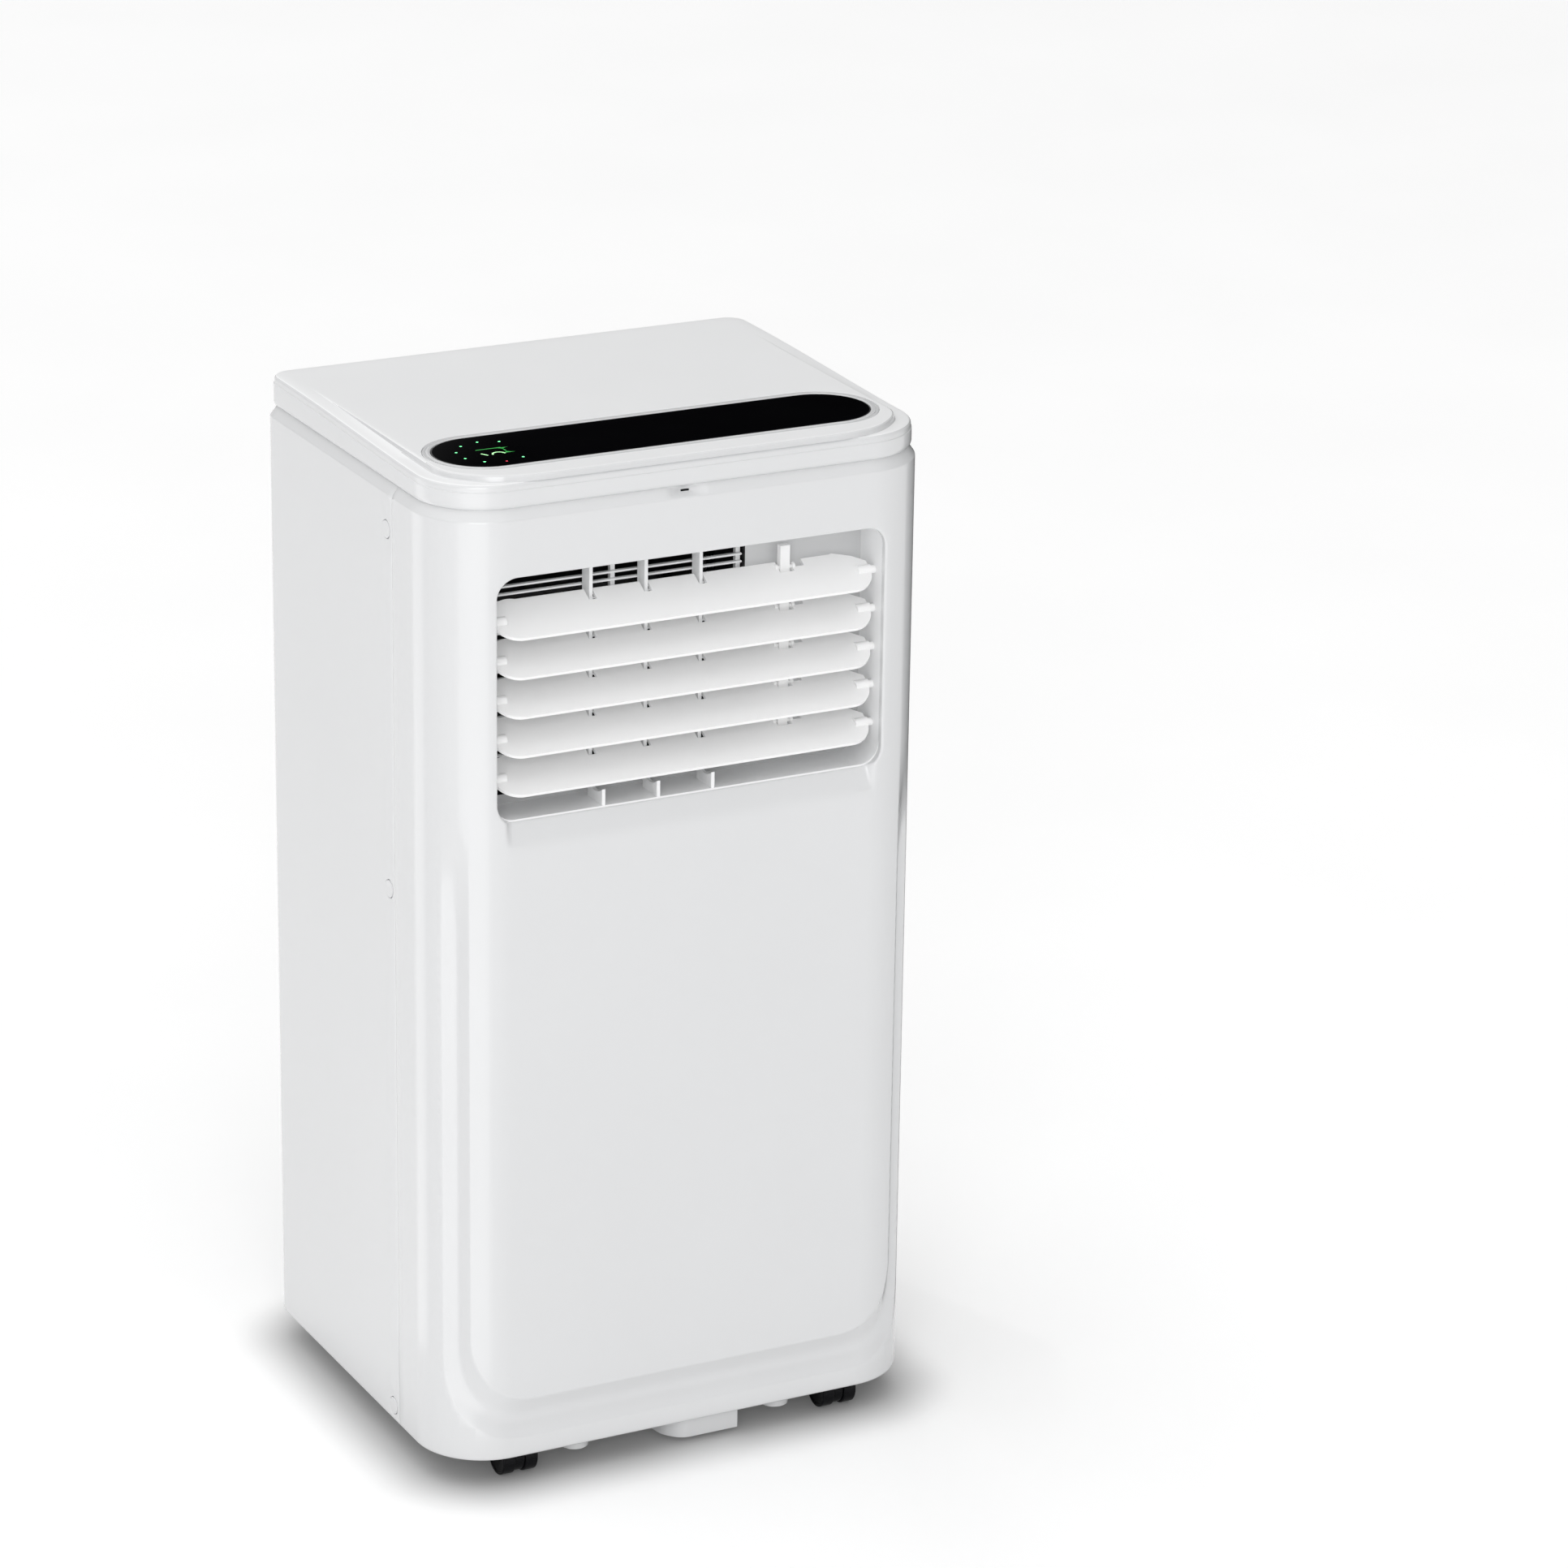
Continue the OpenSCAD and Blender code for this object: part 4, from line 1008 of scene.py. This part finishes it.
# ---- Casters, fittings at the back, underside ----
for corner in ("fl", "fr", "rl", "rr"):
    softened(f"caster_fork_{corner}", 0.4, CASTER, "caster_black")
    softened(f"caster_wheels_{corner}", 0.35, CASTER, "caster_black")
softened("base_pan", 0.5, PALE, "pale_plastic")
softened("drain_well", 0.4, WHITE, "pale_plastic", angle=20.0)
softened("seam_screws", 0.4, WHITE, "white_plastic")
softened("rear_screws", 0.4, STEEL, "bright_metal")
for level in ("upper", "lower"):
    softened(f"{level}_grille", 0.5, WHITE, "white_plastic")
    softened(f"{level}_drain_plug", 0.6, BLACK, "black_plastic")
softened("exhaust_collar", 0.6, PALE, "pale_plastic")
softened("cord_gland", 0.7, BLACK, "black_plastic")

# ---- Materials for the CAD nodes that show as they are ----
LOOKS = {
    "display_board": BOARD, "main_board": BOARD, "remote_receiver": BLACK,
    "upper_filter": NET, "lower_filter": NET, "exhaust_duct": GREY, "condenser_scroll": GREY,
    "drip_tray": GREY, "control_box": GREY, "compressor": BLACK_STEEL, "accumulator": BLACK_STEEL,
    "compressor_feet": RUBBER, "condenser_coil": ALUMINIUM, "evaporator_coil": ALUMINIUM,
    "evaporator_blower": BLACK, "condenser_blower": BLACK, "evaporator_scroll": BLACK,
    "evaporator_motor": STEEL, "condenser_motor": STEEL, "swing_motor": STEEL, "splash_motor": STEEL,
    "splash_wheel": PALE, "run_capacitor": STEEL, "suction_pipe": COPPER, "discharge_pipe": COPPER,
    "capillary_tube": COPPER,
}
for name, look in LOOKS.items():
    mesh = nodes[name].data
    if mesh.materials:
        for slot_index in range(len(mesh.materials)):
            nodes[name].material_slots[slot_index].material = look
    else:
        mesh.materials.append(look)

# Inside the air outlet, painted shade: the plate behind the blades gets a darker copy of the duct's white,
# and the passage behind it is painted black.
duct = bpy.data.objects.new("outlet_frame_skin", nodes["outlet_frame"].data.copy())
bpy.context.scene.collection.objects.link(duct)
duct.data.materials.clear()
for look in (DUCT_WHITE, DUCT_PAINTED_SHADE, BLACK):
    duct.data.materials.append(look)
duct_plate = -106.0 * MM   # front of the plate behind the blades
for face in duct.data.polygons:
    face.material_index = 0
    if face.center.y > duct_plate + 2.5 * MM:
        face.material_index = 2
    elif face.center.y > duct_plate - 1.0 * MM and face.normal.y < -0.7:
        face.material_index = 1
stand_for(duct, "white_plastic", "outlet_frame")

# ---- Floor, light and camera ----
floor_half = 13
corners = [(x * floor_half, y * floor_half, 0) for x, y in ((-1, -1), (1, -1), (1, 1), (-1, 1))]
floor_mesh = bpy.data.meshes.new("floor")
floor_mesh.from_pydata(corners, [], [(0, 1, 2, 3)])
floor = bpy.data.objects.new("floor", floor_mesh)
bpy.context.scene.collection.objects.link(floor)
floor_mat, floor_nt, floor_bsdf = tree("floor_look")
floor_tone = ramp(floor_nt, noise(floor_nt, 3.0).outputs["Fac"], (0.93,) * 3 + (1,), (0.95,) * 3 + (1,))
painted_shadow_r, painted_shadow_level = 40.0, 0.40           # corner radius of the painted shadow patch, and its tone
painted_shadow_inside, painted_shadow_outside = 22.0, 45.0    # how far the tone's change reaches in and out from its edge
floor_glow = 0.12


def floor_painted_shadow():
    """Painted shadow: the floor is darkened where the cabinet stands on it, to the shadow level under it and
    1 away from it.
    """
    def math_node(kind, a, b=None):
        node = floor_nt.nodes.new("ShaderNodeMath")
        node.operation = kind
        for socket, value in zip(node.inputs, (a, b)):
            if isinstance(value, float):
                socket.default_value = value
            elif value is not None:
                link(floor_nt, value, socket)
        return node.outputs["Value"]

    geometry = floor_nt.nodes.new("ShaderNodeNewGeometry")
    split = floor_nt.nodes.new("ShaderNodeSeparateXYZ")
    link(floor_nt, geometry.outputs["Position"], split.inputs["Vector"])
    beyond = []
    for axis, half in (("X", (half_w - painted_shadow_r) * MM), ("Y", (-front_y - painted_shadow_r) * MM)):
        out = math_node("SUBTRACT", math_node("ABSOLUTE", split.outputs[axis]), half)
        out = math_node("MAXIMUM", out, 0.0)
        beyond.append(math_node("MULTIPLY", out, out))
    away = math_node("SQRT", math_node("ADD", beyond[0], beyond[1]))
    level = floor_nt.nodes.new("ShaderNodeMapRange")
    level.interpolation_type = "SMOOTHSTEP"
    level.inputs["From Min"].default_value = (painted_shadow_r - painted_shadow_inside) * MM
    level.inputs["From Max"].default_value = (painted_shadow_r + painted_shadow_outside) * MM
    level.inputs["To Min"].default_value = painted_shadow_level
    link(floor_nt, away, level.inputs["Value"])
    return level.outputs["Result"]


# The painted shadow darkens the floor's colour and its glow.
painted_shadow_factor = floor_painted_shadow()
floor_mix = floor_nt.nodes.new("ShaderNodeVectorMath")
floor_mix.operation = "SCALE"
link(floor_nt, floor_tone.outputs["Color"], floor_mix.inputs[0])
link(floor_nt, painted_shadow_factor, floor_mix.inputs["Scale"])
link(floor_nt, floor_mix.outputs["Vector"], floor_bsdf.inputs["Base Color"])
glow = floor_nt.nodes.new("ShaderNodeMath")
glow.operation = "MULTIPLY"
glow.inputs[1].default_value = floor_glow
link(floor_nt, painted_shadow_factor, glow.inputs[0])
link(floor_nt, glow.outputs["Value"], floor_bsdf.inputs["Emission Strength"])
floor_bsdf.inputs["Roughness"].default_value = 0.45
floor_bsdf.inputs["IOR"].default_value = 1.25
floor_bsdf.inputs["Emission Color"].default_value = (1, 1, 1, 1)
floor_mesh.materials.append(floor_mat)


def build_world():
    """White studio: brighter overhead, darker at both sides, one small black flag far behind."""
    world = bpy.data.worlds.new("studio")
    bpy.context.scene.world = world
    world.use_nodes = True
    nt = world.node_tree
    coord = nt.nodes.new("ShaderNodeTexCoord")
    split = nt.nodes.new("ShaderNodeSeparateXYZ")
    nt.links.new(coord.outputs["Generated"], split.inputs["Vector"])

    def fitted(source, low, high, to_low, to_high):
        node = nt.nodes.new("ShaderNodeMapRange")
        node.interpolation_type = "SMOOTHSTEP"
        limits = {"From Min": low, "From Max": high, "To Min": to_low, "To Max": to_high}
        for socket, value in limits.items():
            node.inputs[socket].default_value = value
        nt.links.new(source, node.inputs["Value"])
        return node.outputs["Result"]

    def times(a, b):
        node = nt.nodes.new("ShaderNodeMath")
        node.operation = "MULTIPLY"
        nt.links.new(a, node.inputs[0])
        nt.links.new(b, node.inputs[1])
        return node.outputs["Value"]

    height = fitted(split.outputs["Z"], 0.0, 1.0, sky_low, sky_high)
    right_side = fitted(split.outputs["X"], 0.1, 0.8, 1.0, right_dim)
    left_side = fitted(split.outputs["X"], -0.9, -0.3, left_dim, 1.0)
    aim = nt.nodes.new("ShaderNodeVectorMath")
    aim.operation = "DOT_PRODUCT"
    aim.inputs[1].default_value = flag_aim
    nt.links.new(coord.outputs["Generated"], aim.inputs[0])
    outer, inner = (math.cos(math.radians(t)) for t in flag_cone)
    flag = fitted(aim.outputs["Value"], outer, inner, 1.0, 0.0)
    strength = times(times(times(height, right_side), left_side), flag)
    nt.links.new(strength, nt.nodes["Background"].inputs["Strength"])
    nt.nodes["Background"].inputs["Color"].default_value = (1, 1, 1, 1)


def softbox(name, place, aim, size, radiance, only_shine=False):
    data = bpy.data.lights.new(name, "AREA")
    data.shape = "RECTANGLE"
    data.size, data.size_y = size
    data.energy = radiance * math.pi * size[0] * size[1]
    obj = bpy.data.objects.new(name, data)
    bpy.context.scene.collection.objects.link(obj)
    obj.location = place
    obj.rotation_euler = (Vector(aim) - Vector(place)).to_track_quat("-Z", "Y").to_euler()
    obj.visible_camera = False
    if only_shine:
        obj.visible_diffuse = False


def corner_strip(name, angle, reach, width, radiance):
    """A tall light close to the front left corner, seen only as a highlight on glossy plastic."""
    t = math.radians(angle)
    corner = (-(half_w - front_r) * MM, (front_y + front_r) * MM)
    place = (corner[0] - reach * math.sin(t), corner[1] - reach * math.cos(t), strip_h / 2 + 0.01)
    softbox(name, place, (corner[0], corner[1], place[2]), (width, strip_h), radiance, only_shine=True)


sky_low, sky_high, right_dim, left_dim = 0.47, 1.46, 0.2, 0.7
flag_aim, flag_cone = (0.433, 0.834, 0.341), (7, 4.5)
strip_h = 0.66
build_world()
softbox("key", (-2.2, -4.1, 2.0), (0, 0, 0.4), (2.4, 2.4), 3.3)
corner_strip("front_strip", 34, 0.17, 0.125, 0.85)
corner_strip("side_strip", 124, 0.19, 0.08, 0.75)


def black_card(name, ends, height):
    """An upright card that only glossy surfaces see; it darkens the edge that faces away."""
    verts = [(x, y, z) for x, y in ends for z in (0.002, height)]
    mesh = bpy.data.meshes.new(name)
    mesh.from_pydata(verts, [], [(0, 1, 3, 2)])
    card = bpy.data.objects.new(name, mesh)
    bpy.context.scene.collection.objects.link(card)
    mat, _, bsdf = tree(name + "_look")
    bsdf.inputs["Base Color"].default_value = (0.0, 0.0, 0.0, 1)
    bsdf.inputs["Roughness"].default_value = 1.0
    bsdf.inputs["Specular IOR Level"].default_value = 0.0
    mesh.materials.append(mat)
    card.visible_camera = card.visible_diffuse = False
    card.visible_shadow = card.visible_transmission = False


black_card("edge_card", ((0.285, -0.11), (0.215, 0.10)), 0.64)

# The camera stands in front to the left, a little above, with a long lens.
camera_data = bpy.data.cameras.new("camera")
camera = bpy.data.objects.new("camera", camera_data)
bpy.context.scene.collection.objects.link(camera)
camera_data.lens = 133.85
camera_data.sensor_width = 36.0
yaw, pitch, roll = (math.radians(v) for v in (27.434, 19.925, 0.891))
forward = Vector((math.sin(yaw) * math.cos(pitch), math.cos(yaw) * math.cos(pitch), -math.sin(pitch)))
right = Vector((math.cos(yaw), -math.sin(yaw), 0))
up = right.cross(forward)
right, up = (math.cos(roll) * right + math.sin(roll) * up,
             -math.sin(roll) * right + math.cos(roll) * up)
turn = Matrix((right, up, -forward)).transposed().to_4x4()
camera.matrix_world = Matrix.Translation(Vector((-1.4715, -3.0927, 1.6396))) @ turn
camera_data.clip_end = 30.0
bpy.context.scene.camera = camera
bpy.context.scene.view_settings.view_transform = "Standard"
